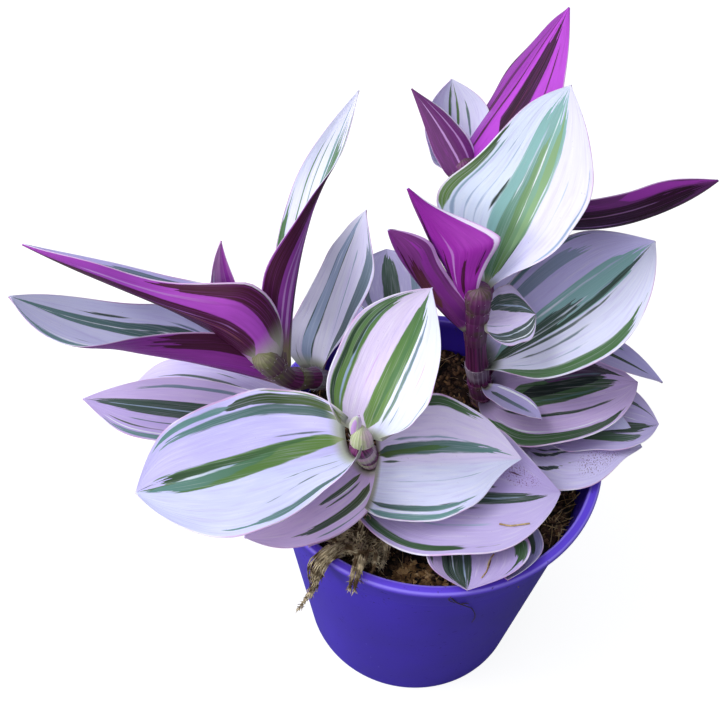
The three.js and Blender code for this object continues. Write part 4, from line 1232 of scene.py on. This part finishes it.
# %% Stripes on the upper sides
UPPER = {
    "front_1": ("#d9dcff", "#d3cbff", [
        (.30, 0, .09, .23, 0, .97, "olive", "green", -.05),
        (.22, -.08, .03, .12, .3, .96, "green", "teal", -.04),
        (.34, .12, .02, .07, .1, .95, "green", "dark", -.05),
        (.42, .34, .02, .016, .05, .46, "slate", "slate"), (.72, .76, .07, .04, 0, .9, "slate", "teal"),
        (.675, .70, .012, .012, .4, .88, "dark", "slate"), (.87, .87, .07, .06, 0, .55, "moss", "dark"),
        (.88, .88, .05, .04, .48, .9, "teal", "teal"), (.955, .955, .012, .012, .12, .45, "white", "white"),
        (.985, .985, .03, .03, .04, .4, "olive", "olive"),
        (-.35, -.62, .016, .012, .02, .52, "slate", "grey"),
        (-.2, -.27, .012, .012, .02, .3, "slate", "grey"), (0, 0, .013, .013, .04, .22, "grey", "grey"),
        (-.8, -.87, .06, .05, 0, .6, "slate", "teal"), (.14, .04, .02, .02, .5, .86, "mist", "white")]),
    "front_2": ("#e4d3f0", "#e2e6fa", [
        (-.08, .05, .14, .16, .04, 1.0, "olive", "green"), (-.04, .07, .03, .05, .08, .95, "green", "green"),
        (.10, .2, .014, .014, .14, .86, "white", "white"), (.17, .26, .035, .035, .08, .84, "green", "grey"),
        (-.80, -.78, .15, .12, 0, .96, "olive", "green"), (-.88, -.86, .04, .03, .05, .9, "dark", "dark"),
        (-.72, -.72, .02, .02, .08, .8, "mist", "mist"), (-.74, -.74, .03, .02, .4, .95, "dark", "dark"),
        (.9, .9, .025, .02, .08, .46, "olive", "grey"), (.35, .35, .014, .012, .08, .38, "grey", "mist"),
        (.6, .6, .014, .012, .04, .26, "grey", "mist"), (-.4, -.35, .012, .012, .1, .6, "pink", "pink"),
        (.5, .52, .012, .012, .3, .8, "pink", "pink")]),
    "front_3": ("#eadcff", "#e0e2ff", [
        (-.2, -.28, .09, .08, 0, .9, "slate", "teal"), (-.15, -.24, .05, .03, 0, .5, "moss", "green"),
        (-.38, -.38, .03, .02, .1, .64, "grey", "mist"), (-.03, -.03, .03, .02, .02, .2, "dark", "slate"),
        (.74, .82, .05, .045, 0, .7, "slate", "teal"), (.72, .80, .012, .014, .4, .68, "black", "black"),
        (.92, .93, .055, .045, 0, .66, "teal", "teal"), (.83, .865, .02, .012, .02, .62, "white", "white"),
        (-.9, -.9, .08, .06, .28, .74, "dark", "green"), (.3, .3, .012, .01, .1, .7, "mist", "mist")]),
    "front_4": ("#bca9e0", "#ccbcec", [
        (-.1, -.1, .03, .03, .38, .72, "slate", "dark"), (.07, .07, .08, .1, .38, .92, "slate", "dark"),
        (.08, .06, .02, .02, .45, .85, "mist", "mist"), (.25, .25, .03, .02, .38, .68, "slate", "slate"),
        (.88, .88, .06, .03, 0, .62, "green", "dark"), (-.4, -.4, .02, .03, .68, .8, "maroon", "maroon"),
        (.55, .5, .02, .02, .1, .7, "mist", "mist"), (-.85, -.85, .05, .04, .1, .7, "grey", "mist")]),
    # front_5 lies in the shade of front_1. Its ground is painted lighter than its own colour, a painted light
    # for light that shines through and between the leaves.
    "front_5": ("#eacfff", "#e2c6ff", [
        (-.6, -.6, .1, .07, .1, .74, "moss", "slate"), (-.1, -.1, .08, .04, .05, .54, "moss", "slate"),
        (-.28, -.25, .035, .02, .1, .5, "slate", "slate"), (-.85, -.85, .02, .02, .1, .7, "grey", "grey"),
        (-.19, -.18, .02, .014, .1, .5, "white", "white"), (-.72, -.7, .02, .014, .1, .6, "white", "white")]),
    "front_6": ("#d8b2ec", "#cda8e6", [
        (-.3, -.3, .06, .04, .1, .7, "slate", "grey"), (.4, .4, .05, .03, .1, .6, "grey", "grey")]),
    "front_7": ("#bcaade", "#c2acdc", [
        (.25, .27, .26, .42, .2, 1.05, "slate", "dark"), (.1, .05, .025, .025, .5, .98, "mist", "mist"),
        (.42, .5, .02, .03, .5, 1.0, "black", "black"),
        (.32, .36, .02, .02, .45, .95, "white", "mist"), (-.38, -.38, .012, .012, .6, .82, "brown", "brown"),
        (-.85, -.85, .1, .08, .45, .8, "green", "dark"), (.88, .88, .05, .04, .2, .8, "slate", "slate")]),
    "front_8": ("#9c98d0", "#a6a0da", [
        (.05, .05, .3, .3, .1, 1.0, "dark", "black"), (.05, .08, .03, .03, .2, .95, "mist", "mist"),
        (-.75, -.75, .08, .05, .2, .8, "slate", "dark")]),
    "front_bud": ("#d9b9e4", "#cdd3d9", [
        (.1, .1, .15, .1, 0, .8, "olive", "green"), (-.8, -.8, .2, .3, .3, 1.1, "pink", "magenta")]),
    "left_1": ("#c9bdf0", "#cfc6f6", [
        (.8, .8, .12, .08, .25, .85, "slate", "grey"), (.3, .2, .15, .1, .2, .9, "slate", "teal"),
        (-.5, -.5, .12, .1, .2, .9, "green", "teal")]),
    "left_2": ("#dcdcff", "#e2e2ff", [
        (.62, .22, .16, .15, .3, 1.04, "slate", "teal"), (.62, .24, .014, .014, .35, .95, "white", "white"),
        (.7, .6, .03, .02, .6, .84, "dark", "slate"), (.76, .74, .03, .02, .3, .55, "grey", "grey"),
        (-.3, -.3, .02, .02, .7, .92, "slate", "mist"), (-.72, -.66, .16, .15, .66, 1.02, "teal", "teal"),
        (-.5, -.46, .03, .03, .7, .96, "white", "white")]),
    "left_3": ("#dedef8", "#e4e2fb", [
        (-.35, -.35, .03, .025, .05, .9, "olive", "green"), (-.6, -.6, .03, .025, .1, .85, "olive", "green"),
        (-.92, -.92, .08, .07, .3, .65, "green", "green"), (.45, .42, .3, .26, .5, .93, "green", "green"),
        (.9, .9, .07, .07, .4, .95, "green", "green"), (.05, .05, .05, .06, .1, .95, "green", "teal"),
        (.35, .3, .03, .02, .3, .9, "grey", "mist")]),
    "left_4": ("#d795d6", "#a84ab0", [
        (-.6, -.6, .1, .1, .1, .8, "white", "white"), (.5, .5, .2, .1, 0, 1, "magenta", "magenta")]),
    # left_5 lies in shade. Its ground is painted lighter than its own colour, a painted light for light that
    # shines through and between the leaves.
    "left_5": ("#ecebff", "#e8e4ff", [
        (-.5, -.42, .15, .13, 0, .97, "mist", "mist"), (-.36, -.28, .025, .02, .02, .9, "slate", "slate"),
        (-.62, -.56, .02, .02, .1, .85, "slate", "grey"), (-.5, -.44, .02, .02, .1, .9, "mist", "white"),
        (.6, .75, .2, .2, .02, .92, "slate", "grey"),
        (-.75, -.75, .02, .02, 0, .14, "dark", "dark"), (.15, .15, .02, .02, .1, .8, "mist", "mist")]),
    "left_6": ("#cdb8f0", "#d2bcec", [
        (.03, .05, .32, .22, .1, .98, "dark", "slate"), (.03, .03, .03, .02, .2, .9, "grey", "mist"),
        (-.4, -.4, .02, .02, .45, .78, "slate", "grey"), (-.62, -.62, .02, .02, .4, .88, "dark", "dark"),
        (-.88, -.88, .07, .06, .45, .88, "teal", "teal"), (-.76, -.76, .03, .02, .45, .85, "white", "white"),
        (.75, .72, .05, .04, .2, .8, "grey", "grey")]),
    "left_7": ("#d8c8f4", "#d4c8f4", [
        (.08, .08, .06, .05, .15, .88, "slate", "slate"), (.35, .35, .03, .02, .38, .54, "slate", "grey"),
        (.55, .5, .02, .02, .3, .5, "grey", "mist"),
        (-.7, -.7, .08, .05, .2, .8, "grey", "grey"), (-.35, -.35, .02, .02, .2, .7, "mist", "mist")]),
    "tall_1": ("#c9bdf0", "#cfc6f6", [
        (0, 0, .2, .15, .1, .95, "slate", "teal"), (.7, .7, .08, .06, .1, .8, "green", "teal")]),
    "tall_2": ("#d2c8f4", "#dcd2fa", [
        (0, 0, .2, .15, .1, .95, "slate", "teal"), (-.7, -.7, .08, .06, .1, .8, "green", "teal")]),
    "tall_3": ("#e2eafc", "#e2defc", [
        (-.07, -.05, .18, .38, 0, .99, "green", "aqua"), (.13, .12, .12, .17, .05, .97, "olive", "aqua"),
        (.18, .16, .05, .06, .2, .9, "sage", "sage"), (-.02, -.02, .05, .06, .05, .8, "green", "sage"),
        (-.26, -.26, .05, .1, .2, .9, "aqua", "aqua"), (.02, .03, .012, .014, .3, .92, "white", "white"),
        (-.16, -.15, .012, .016, .4, .9, "white", "mist"), (.22, .24, .012, .014, .35, .85, "white", "mist"),
        (-.36, -.34, .03, .02, .33, .58, "black", "dark"), (-.93, -.93, .08, .06, .25, .8, "olive", "dark"),
        (-.8, -.8, .03, .02, .2, .75, "mist", "teal"), (-.5, -.5, .012, .01, .15, .8, "mist", "mist"),
        (-.65, -.62, .012, .01, .15, .75, "mist", "mist"), (.25, .25, .022, .015, .06, .3, "dark", "slate"),
        (.55, .55, .012, .01, .1, .7, "mist", "mist"), (.93, .93, .03, .02, .2, .8, "mist", "grey")]),
    "tall_4": ("#d6cfff", "#e6e8ff", [
        (-.06, -.06, .2, .28, .04, .97, "aqua", "aqua"), (.04, .0, .12, .11, .02, .56, "dark", "slate"),
        (.12, .1, .03, .06, .3, .95, "dark", "slate"), (-.2, -.2, .02, .02, .3, .9, "white", "mist"),
        (.06, .06, .012, .012, .15, .8, "white", "mist"), (.0, .0, .012, .012, .1, .7, "mist", "white"),
        (.22, .22, .03, .025, .06, .72, "slate", "slate"), (.4, .4, .03, .02, .16, .62, "slate", "grey"),
        (.87, .87, .1, .07, .06, .84, "green", "green"), (-.72, -.72, .1, .08, .06, .78, "grey", "mist"),
        (-.97, -.97, .06, .05, .1, .8, "teal", "grey"), (.62, .62, .015, .012, .1, .5, "mist", "mist")]),
    "tall_curl": ("#e2d4fa", "#e6daff", [
        (.68, .32, .22, .36, 0, 1.15, "slate", "slate"), (-.68, -.36, .18, .34, .1, 1.15, "slate", "slate"),
        (.8, .52, .025, .04, .05, 1.0, "white", "white"), (.56, .2, .02, .03, .1, 1.0, "mist", "white"),
        (-.6, -.3, .02, .03, .2, 1.0, "mist", "mist"), (.05, .05, .025, .02, 0, .5, "grey", "mist")]),
    "top_1": ("#c9c2f2", "#d2caf8", [
        (0, 0, .25, .2, .1, .95, "slate", "teal"), (.7, .7, .08, .06, .1, .8, "green", "teal")]),
    "top_2": ("#c9c2f2", "#d2caf8", [(0, 0, .2, .15, .1, .9, "slate", "teal")]),
    "top_3": ("#dde2f8", "#e6e6fc", [
        (-.1, -.12, .03, .06, .55, .96, "green", "green"), (.1, .12, .03, .05, .6, .96, "green", "olive"),
        (.4, .4, .03, .04, .5, .9, "grey", "green"), (-.75, -.75, .05, .04, .28, .62, "dark", "slate")]),
    "top_4": ("#aab0d8", "#b2b8de", [
        (.1, .1, .3, .2, .1, .95, "grey", "teal"), (.7, .7, .1, .08, .1, .9, "slate", "slate")]),
    "right_1": ("#bcb4ea", "#c4baee", [
        (0, 0, .12, .08, .05, .92, "dark", "dark"), (-.6, -.6, .18, .12, .1, .8, "teal", "teal")]),
    # right_2 lies in the shade of tall_4. Its ground is painted lighter than its own colour, a painted light
    # for light that shines through and between the leaves.
    "right_2": ("#d2b8ea", "#d4bcec", [
        (.0, -.25, .30, .12, .1, .92, "green", "dark"), (-.45, -.5, .2, .12, .3, .9, "purple", "dark"),
        (-.1, -.3, .12, .05, .2, .8, "black", "black"), (-.3, -.42, .02, .02, .3, .85, "slate", "grey"),
        (.1, -.1, .02, .02, .25, .8, "teal", "slate"), (.36, .33, .035, .03, .1, .84, "dark", "dark"),
        (.85, .85, .12, .08, .1, .86, "green", "dark"), (.68, .7, .02, .012, .1, .8, "white", "white"),
        (-.8, -.8, .08, .05, .15, .7, "slate", "grey")]),
    # right_3 lies in shade. Its ground is painted lighter than its own colour, a painted light for light that
    # shines through and between the leaves.
    "right_3": ("#d8d6ff", "#ded6ff", [
        (.8, .42, .045, .04, .16, .42, "black", "slate"), (.62, 0, .05, .025, .08, .6, "dark", "slate", -.08),
        (.45, -.12, .03, .015, .08, .8, "slate", "grey", -.1), (-.5, -.3, .18, .05, 0, .4, "black", "dark"),
        (.53, -.07, .015, .012, .1, .7, "white", "white", -.09)]),
    "right_4": ("#c4b6e8", "#c8bcec", [
        (.2, .32, .24, .17, .4, .98, "dark", "dark"), (-.55, -.55, .06, .05, .7, .98, "slate", "slate"),
        (.4, .75, .14, .1, .3, .88, "green", "slate"), (-.1, -.1, .1, .1, .1, .6, "slate", "slate"),
        (-.2, .1, .02, .02, .55, .95, "white", "white")]),
    "right_5": ("#b8afe2", "#c0b7e8", [
        (0, 0, .2, .12, .1, .85, "slate", "grey"), (-.8, -.8, .08, .06, .1, .85, "white", "white")]),
    # back_1's ground is painted darker and greyer: painted shade for the shadow that it lies in.
    "back_1": ("#a9a4cc", "#b0aad2", [
        (0, 0, .25, .2, .05, .95, "dark", "slate"), (.6, .6, .1, .07, .1, .85, "grey", "grey"),
        (-.65, -.65, .08, .06, .1, .8, "slate", "grey")]),
    "back_2": ("#b9b2e2", "#c3bcea", [
        (.05, 0, .22, .16, 0, .95, "green", "teal"), (-.6, -.6, .08, .06, .1, .8, "grey", "mist"),
        (.8, .8, .07, .05, .1, .8, "dark", "green")]),
    "back_3": ("#c5c0ee", "#bdb6e6", [
        (-.08, 0, .26, .2, 0, .95, "dark", "teal"), (.55, .55, .04, .03, .1, .7, "grey", "mist"),
        (-.85, -.85, .07, .05, .1, .8, "green", "green")]),
    "back_4": ("#cbc4f2", "#bfb8ea", [
        (.1, .03, .2, .22, 0, .95, "green", "teal"), (.75, .72, .09, .06, .05, .85, "slate", "grey"),
        (-.5, -.5, .03, .02, .1, .6, "grey", "mist"), (-.88, -.88, .06, .04, .1, .7, "green", "dark")]),
    "back_5": ("#cfd0f8", "#c6c0ee", [
        (0, 0, .24, .18, 0, .95, "slate", "teal"), (.6, .6, .06, .05, .1, .8, "grey", "mist"),
        (-.8, -.8, .08, .05, .1, .85, "green", "dark")]),
}
print("upper sides:", len(UPPER))

# %% Stripes on the undersides
PLAIN_UNDER = ("#93359f", "#8a2f97", [
    (-.42, -.35, .16, .1, .05, .9, "maroon", "plum"), (.42, .35, .16, .1, .05, .9, "maroon", "plum"),
    (0, 0, .04, .03, 0, .98, "plum", "maroon"), (.8, .8, .06, .05, .1, .9, "pink", "magenta"),
    (-.8, -.8, .06, .05, .1, .9, "pink", "magenta")])
UNDER = {
    "front_bud": ("#dcc6de", "#d3d6c4", [
        (.3, .3, .2, .2, 0, .9, "pink", "pink"), (-.5, -.5, .1, .1, 0, .8, "olive", "rose")]),
    "left_4": ("#cf8fd0", "#b25cb8", [
        (-.5, -.5, .12, .1, .1, .9, "white", "white"), (.3, .3, .2, .1, 0, .9, "purple", "magenta")]),
    "left_1": ("#a848b8", "#8e419e", [
        (-.84, -.9, .2, .07, .05, .6, "maroon", "maroon"),
        (-.2, -.32, .22, .32, .08, 1.05, "maroon", "maroon"),
        (-.26, -.3, .02, .02, .15, .9, "brown", "brown"), (-.66, -.68, .03, .03, .3, .9, "magenta", "pink"),
        (-.36, -.32, .016, .014, .2, .9, "rose", "magenta"),
        (-.985, -.985, .018, .018, .1, 1.1, "white", "white"), (.4, .4, .16, .1, .05, .9, "maroon", "plum")]),
    "left_2": ("#94389e", "#9a3ea8", [
        (-.85, -.85, .24, .2, .04, .56, "maroon", "maroon"), (-.1, -.1, .03, .02, .05, .9, "plum", "plum"),
        (-.35, -.3, .05, .04, .1, .9, "magenta", "magenta"), (.45, .4, .15, .1, .05, .9, "maroon", "plum")]),
    "left_3": ("#8e419e", "#9440a2", [
        (.75, .72, .24, .2, .04, .9, "maroon", "maroon"), (.2, .2, .05, .04, .1, .85, "pink", "magenta"),
        (.38, .36, .03, .03, .1, .8, "pink", "magenta"), (0, 0, .04, .03, 0, .95, "plum", "plum"),
        (-.4, -.4, .15, .1, .05, .9, "maroon", "plum")]),
    "tall_1": ("#7c3780", "#a034ae", [
        (-.25, -.25, .16, .14, .3, .8, "brown", "maroon"), (-.05, -.05, .05, .03, 0, .9, "plum", "maroon"),
        (-.6, -.6, .1, .08, .1, .9, "purple", "magenta"), (.5, .5, .04, .03, .1, .9, "purple", "purple"),
        (.94, .94, .06, .06, .1, 1.05, "white", "white"), (-.94, -.94, .05, .05, .1, 1.05, "pink", "pink")]),
    "tall_2": ("#962aa0", "#8e2396", [
        (-.15, -.15, .035, .03, .12, .58, "maroon", "maroon"),
        (-.5, -.5, .055, .04, .12, .5, "maroon", "maroon"),
        (-.8, -.8, .04, .03, .28, .48, "maroon", "plum"), (0, 0, .035, .03, 0, .95, "plum", "plum"),
        (.4, .4, .08, .06, .1, .85, "maroon", "purple"), (-.3, -.3, .02, .02, .2, .8, "pink", "magenta"),
        (.95, .95, .05, .05, .1, 1.05, "white", "white"),
        (-.95, -.95, .045, .05, .1, 1.05, "pink", "white")]),
    # top_1's underside is a brighter magenta than the plain underside. This is its own colour, brightened by
    # a painted glow of light shining through the blade.
    "top_1": ("#b244c6", "#9a38ac", [
        (-.3, -.3, .16, .14, .3, .99, "plum", "plum"), (-.3, -.3, .02, .018, .35, .95, "maroon", "maroon"),
        (-.65, -.62, .025, .02, .2, .9, "maroon", "maroon"), (.65, .6, .34, .1, -.1, .42, "plum", "maroon"),
        (.5, .48, .02, .02, .02, .4, "rose", "rose"), (.75, .72, .02, .02, .02, .4, "rose", "rose"),
        (.92, .92, .07, .06, .1, .95, "plum", "maroon"), (0, 0, .03, .02, 0, .98, "maroon", "maroon"),
        (.3, .25, .06, .04, .3, .9, "maroon", "purple")]),
    "top_2": ("#7d3d80", "#744076", [
        (.2, .2, .05, .04, .1, .9, "pink", "pink"), (-.3, -.3, .05, .04, .1, .9, "pink", "pink"),
        (-.92, -.92, .08, .08, .1, 1.05, "white", "white")]),
    "top_4": ("#5a2c52", "#6e2f74", [
        (.36, .4, .34, .32, 0, .97, "plum", "plum"), (.86, .84, .1, .12, .6, 1.05, "magenta", "magenta"),
        (.02, .02, .06, .05, 0, .95, "plum", "plum"), (-.4, -.4, .05, .05, .1, .9, "magenta", "purple"),
        (.15, .15, .02, .02, .2, .8, "rose", "rose"), (.5, .5, .02, .02, .2, .8, "brown", "rose")]),
}
print("drawn undersides:", len(UNDER))


# %% Leaf finishes
RIM_WHITE, RIM_PINK = paint("#f4f0fb"), paint("#d9a9dc")
SPECK_GREY, SPECK_PLUM = paint("#8c7a9c"), paint("#6a3a78")
SPREAD, WIDE_STRIPE, LEAF_RELIEF = 1.25, 0.15, 0.0004
# Each side of a leaf: the tints of its pale and its deep streaks, its roughness and its shine.
TOP_SIDE = ((1, 0.98, 1, 1), paint("#b49ce0"), 0.34, 0.25)
UNDER_SIDE = (paint("#bb4cc6"), paint("#5a1a5a"), 0.26, 0.16)
# The tone of a leaf's foot and how far along the leaf it reaches.
FOOT_TONES = {"left_3": ("#8f9150", 0.2), "left_1": ("#c3c9ae", 0.16), "left_2": ("#7c7440", 0.14),
              "tall_4": ("#55622e", 0.1), "right_2": ("#8a7c9c", 0.1), "front_3": ("#8c8a62", 0.04),
              "front_4": ("#b9aacb", 0.05)}
PLAIN_FOOT = ("#a4ac84", 0.08)
# Patches of dark specks: their place across (0 to 1) and along, and how far they reach.
SPECKLED = {"front_4": ((.3, .78, .15),), "right_3": ((.72, .62, .2), (.55, .8, .12))}


def with_stripe(tree, colour, grain, stripe):
    """The colour with one stripe painted over it, thinned by the veins."""
    c0, c1, h0, h1, start, end, tone, end_tone = stripe[:8]
    h0, h1 = (h * (SPREAD if h < WIDE_STRIPE else 1) for h in (h0, h1))
    values = {label: grain[label] for label in ("Across", "Along", "Streaks")}
    values.update(zip(STRIPE_NUMBERS, (c0, c1, h0, h1, start, end)))
    values["Bow"] = stripe[8] if len(stripe) > 8 else 0.0
    drawn =add(tree, "ShaderNodeGroup", values, node_tree=STRIPE).outputs
    painted = blend_colours(tree, drawn["Share"], paint(TONES[tone]), paint(TONES[end_tone]))
    solid = sums(tree, "MULTIPLY_ADD", grain["Veins"], -0.5, 1.22, clamp=True)
    return blend_colours(tree, times(tree, drawn["Mask"], solid), colour, painted)


def with_specks(tree, colour, grain, uv, patches):
    """The colour with fine grey specks all over and patches of dark ones."""
    specks = grain["Specks"]
    dots = times(tree, ramp(tree, specks, 0.70, 0.76), ramp(tree, grain["Streaks"], 0.48, 0.6))
    colour = tinted(tree, colour, SPECK_GREY, dots, 0.5)
    for u, v, reach in patches:
        off = add(tree, "ShaderNodeVectorMath", {0: uv, 1: (u, v, 0)}, operation="DISTANCE").outputs["Value"]
        dots = times(tree, ramp(tree, specks, 0.57, 0.62), ramp(tree, off, reach, reach / 2))
        colour = tinted(tree, colour, SPECK_PLUM, dots, 0.85)
    return colour


def leaf_finish(name, leaf_name, look, seed, under):
    """The finish of one side of a leaf: grounds, stripes, fine veins, specks, rim and foot."""
    made, tree, shader = finish_named(name)
    uv = add(tree, "ShaderNodeUVMap", uv_map="UVMap").outputs[0]
    grain = add(tree, "ShaderNodeGroup", {"UV": uv, "Seed": seed}, node_tree=GRAIN).outputs
    across, along, streaks, veins, _ = grain
    left_ground, right_ground, stripes = look
    pale, deep, roughness, shine = UNDER_SIDE if under else TOP_SIDE
    colour = blend_colours(tree, ramp(tree, across, -0.12, 0.12), paint(left_ground), paint(right_ground))
    colour = tinted(tree, colour, pale, ramp(tree, streaks, 0.5, 0.75), 0.22)
    colour = tinted(tree, colour, deep, ramp(tree, streaks, 0.5, 0.28), 0.2)
    for stripe in stripes:
        colour = with_stripe(tree, colour, grain, stripe)
    colour = tinted(tree, colour, pale, ramp(tree, veins, 0.55, 0.75), 0.14)
    rim_tone = RIM_PINK
    if not under:
        colour = with_specks(tree, colour, grain, uv, SPECKLED.get(leaf_name, ()))
        rim_tone = blend_colours(tree, ramp(tree, streaks, 0.4, 0.6), RIM_WHITE, RIM_PINK)
    colour = tinted(tree, colour, rim_tone, ramp(tree, sums(tree, "ABSOLUTE", across), 0.968, 0.985), 0.85)
    foot_tone, reach = FOOT_TONES.get(leaf_name, PLAIN_FOOT)
    colour = tinted(tree, colour, paint(foot_tone), ramp(tree, along, reach, reach / 4), 0.8)
    roughness = sums(tree, "MULTIPLY_ADD", streaks, 0.2, roughness)
    relief = sums(tree, "ADD", times(tree, veins, 0.6), times(tree, streaks, 0.8))
    feed(tree, shader, {"Base Color": colour, "Roughness": roughness, "Specular IOR Level": shine,
                        "Normal": bump(tree, relief, 0.45, LEAF_RELIEF)})
    return made


plain_under = leaf_finish("leaf_under", None, PLAIN_UNDER, 3.7, True)
for k, (name, leaf) in enumerate(LEAVES.items()):
    upper, lower = leaf_finish("leaf_top_" + name, name, UPPER[name], 1.3 * k, False), plain_under
    if name in UNDER:
        lower = leaf_finish("leaf_under_" + name, name, UNDER[name], 1.7 * k, True)
    settle(blade_mesh("blade_" + name, leaf, upper, lower), "leaf", "leaf_" + name)
print("blades:", len(LEAVES))

# %% [markdown]
# ## Dry roots
# A clump of dry moss and roots lies over the rim, with one long bundle hanging down the pot. It is a
# tangle of fine fibres, so each root of the solid becomes a loose bundle of thin tubes, and the core
# becomes curled fibres in every direction.

# %% Root fibres
ROOT_CENTRE, ROOT_SIZE = np.array((-17.5, -37, 89.6)), np.array((8, 4.2, 6))
ROOT_STEPS, ROOT_SIDES, BUNDLE, SIDE_HAIRS, SIDE_HAIR_SHAPE = 22, 5, 34, 150, [0.16, 0.12, 0.03]
CURLS, CURL_STEPS = 210, 12
# Each root: its radius and the points that it runs through, in millimetres.
ROOTS = [
    (1.3, [(-20, -38, 92), (-23, -43.5, 98), (-26.8, -47.6, 97.7), (-28, -48, 91), (-28, -47.5, 83),
           (-32.7, -49.6, 70)]),
    (0.9, [(-19, -38, 92), (-22.5, -44.5, 98.4), (-25.1, -48.6, 97.5), (-26.4, -48.6, 90),
           (-29.5, -48.6, 79)]),
    (0.65, [(-16, -38, 93), (-15.8, -45, 98.2), (-16.6, -51.3, 97.3), (-17, -51.6, 91)]),
    (0.65, [(-14, -37, 92), (-14.3, -46, 98.4), (-15.2, -51.9, 97.3), (-15.9, -52.2, 91.5)]),
    (0.65, [(-13, -37, 91), (-11, -43, 96.8), (-11.2, -48.6, 98)]),
    (0.65, [(-22, -36, 92), (-25, -38, 97.5), (-22, -42, 98.5)]),
    (0.65, [(-12, -35, 91), (-9, -36, 95), (-8.5, -40, 92), (-9.5, -42, 88.5)]),
    (0.65, [(-17, -35, 93), (-16, -31, 97), (-19, -29, 94), (-22, -30, 90)]),
    (0.65, [(-21, -38, 90), (-26, -37, 93), (-28.5, -36.5, 89)]),
    (0.65, [(-18, -40, 93), (-19.5, -42.5, 97.5), (-16, -44, 99), (-12.5, -41, 96)]),
]


def strayed(chance, spread):
    """A random step that is as likely in any direction."""
    return np.array([chance.gauss(0, spread) for _ in range(3)])


def bundle_fibre(chance, path, radius):
    """One long fibre of the bundle along a root, loose at first and drawn in towards its end."""
    offset = strayed(chance, 1) * radius * 0.75
    wander = np.array([strayed(chance, 0.18) for _ in path])
    share = np.linspace(0, 1, len(path))[:, None]
    fibre = path + offset * (1.5 - 1.35 * share) + np.cumsum(wander, axis=0) * 0.4 * (1.2 - share)
    cut = chance.randint(13, ROOT_STEPS)
    thin = chance.uniform(0.14, 0.3)
    return fibre[:cut], np.linspace(thin, thin * 0.4, cut)


def side_hair(chance, path, radius):
    """One short hair that stands off a root and droops at its end."""
    foot = chance.randint(3, 20)
    way = unit(unit(path[foot + 1] - path[foot]) + strayed(chance, 0.5))
    start = path[foot] + strayed(chance, 0.8) * radius * (1.1 - foot / 24)
    reach = chance.uniform(0.8, 2.0)
    return np.array([start, start + way * reach * 0.6, start + way * reach + (0, 0, -0.3)]), SIDE_HAIR_SHAPE


def moss_curl(chance):
    """One curled fibre that stays inside the clump."""
    start, turn, way = strayed(chance, 0.5), strayed(chance, 1), strayed(chance, 1)
    curl = []
    for _ in range(CURL_STEPS):
        way = unit(way + np.cross(turn, way) * 0.28 + strayed(chance, 0.2))
        start = start + way * 0.17
        if np.linalg.norm(start) > 1.1:
            way = unit(way - start)
        curl.append(ROOT_CENTRE + start * ROOT_SIZE)
    thin = chance.uniform(0.1, 0.24)
    return np.array(curl), np.linspace(thin, thin * 0.6, CURL_STEPS)


def root_fibres(chance):
    """Lines for every root: bundles and hairs along the solid's roots, and curls round its core."""
    lines = []
    for radius, knots in ROOTS:
        path = smooth_path(knots, ROOT_STEPS)
        lines += [bundle_fibre(chance, path, radius) for _ in range(int(BUNDLE * radius) + 4)]
        lines += [side_hair(chance, path, radius) for _ in range(int(SIDE_HAIRS * radius))]
    return lines + [moss_curl(chance) for _ in range(CURLS)]


dry_root, tree, shader = finish_named("dry_root")
patchy = ramp(tree, clouds(tree, own_place(tree), 260.0, 4.0), 0.4, 0.64)
feed(tree, shader, {"Base Color": blend_colours(tree, patchy, paint("#5c4832"), paint("#e2d0ac")),
                    "Roughness": 0.85, "Specular IOR Level": 0.2})
root_lines = lines_mesh("root_lines", root_fibres(random.Random(4)))
roots = grown("root_clump", root_lines, TUBE, {"Sides": ROOT_SIDES, "Finish": dry_root})
settle(roots, "dry_roots", "dry_roots")
print("root faces:", len(roots.data.polygons))

# %% [markdown]
# ## Loose fibres
# Two bits of dry fibre lie on the front leaves, and a thin dark root with two short side roots curls down
# the pot under its lip. A fibre on a leaf takes its points from the blade itself, so it rests on the skin
# and not above it.

# %% Loose fibres
CHIP_STEPS, TENDRIL_STEPS, LOOSE_SIDES, LIP_REACH = 12, 26, 6, 1.6


def on_blade(name, places, lift):
    """Points a little above a blade's upper skin. Each place is (along, across)."""
    leaf = LEAVES[name]
    rib = leaf_rib(leaf)
    return np.array([blade_points(leaf, rib, np.array([s]), np.array([v]), lift)[0, 0] for s, v in places])


def on_wall(places, out):
    """Points just outside the pot. Each place is (degrees to the right of the front, height)."""
    made = []
    for angle, z in places:
        radius = wall_radius(z) + out + (COLLAR_STEP if z > collar else 0)
        radius += LIP_REACH if z > lip_bottom - 1 else 0
        made.append((radius * math.sin(math.radians(angle)), -radius * math.cos(math.radians(angle)), z))
    return made


# Each chip: its leaf, its places along and across it, its lift off the skin and its radius.
CHIPS = [("front_4", [(.66, .52), (.71, .6), (.76, .66), (.80, .74)], 0.25, 0.28),
         ("front_7", [(.62, -.42), (.7, -.36), (.8, -.38), (.88, -.36)], 0.2, 0.2)]
TENDRILS = [[(12, 95), (12.3, 92), (15.2, 86.5), (19.1, 82.4), (22.9, 75.4), (25.6, 67.3), (25.2, 63)],
            [(12.3, 91), (12.6, 88.6), (14.6, 86.4)], [(17, 84.6), (18.4, 84.9), (19.8, 83.9)]]

chips = [(smooth_path(on_blade(name, places, lift), CHIP_STEPS), [radius] * CHIP_STEPS)
         for name, places, lift, radius in CHIPS]
tendrils = [(smooth_path(on_wall(places, 0.3), TENDRIL_STEPS), np.linspace(0.2, 0.1, TENDRIL_STEPS))
            for places in TENDRILS]
dark_root = thread_finish("dark_root", "#2a1c24", "#54404a", 500.0, 0.7)
kinds = [("leaf_chips", chips, straw), ("wall_tendrils", tendrils, dark_root)]
litter = joined("loose_fibres", *[
    grown(name, lines_mesh(name + "_lines", lines), TUBE, {"Sides": LOOSE_SIDES, "Finish": finish})
    for name, lines, finish in kinds])
settle(litter, "dry_roots")
print("loose fibres:", len(chips) + len(tendrils))

# %% Import json
import json
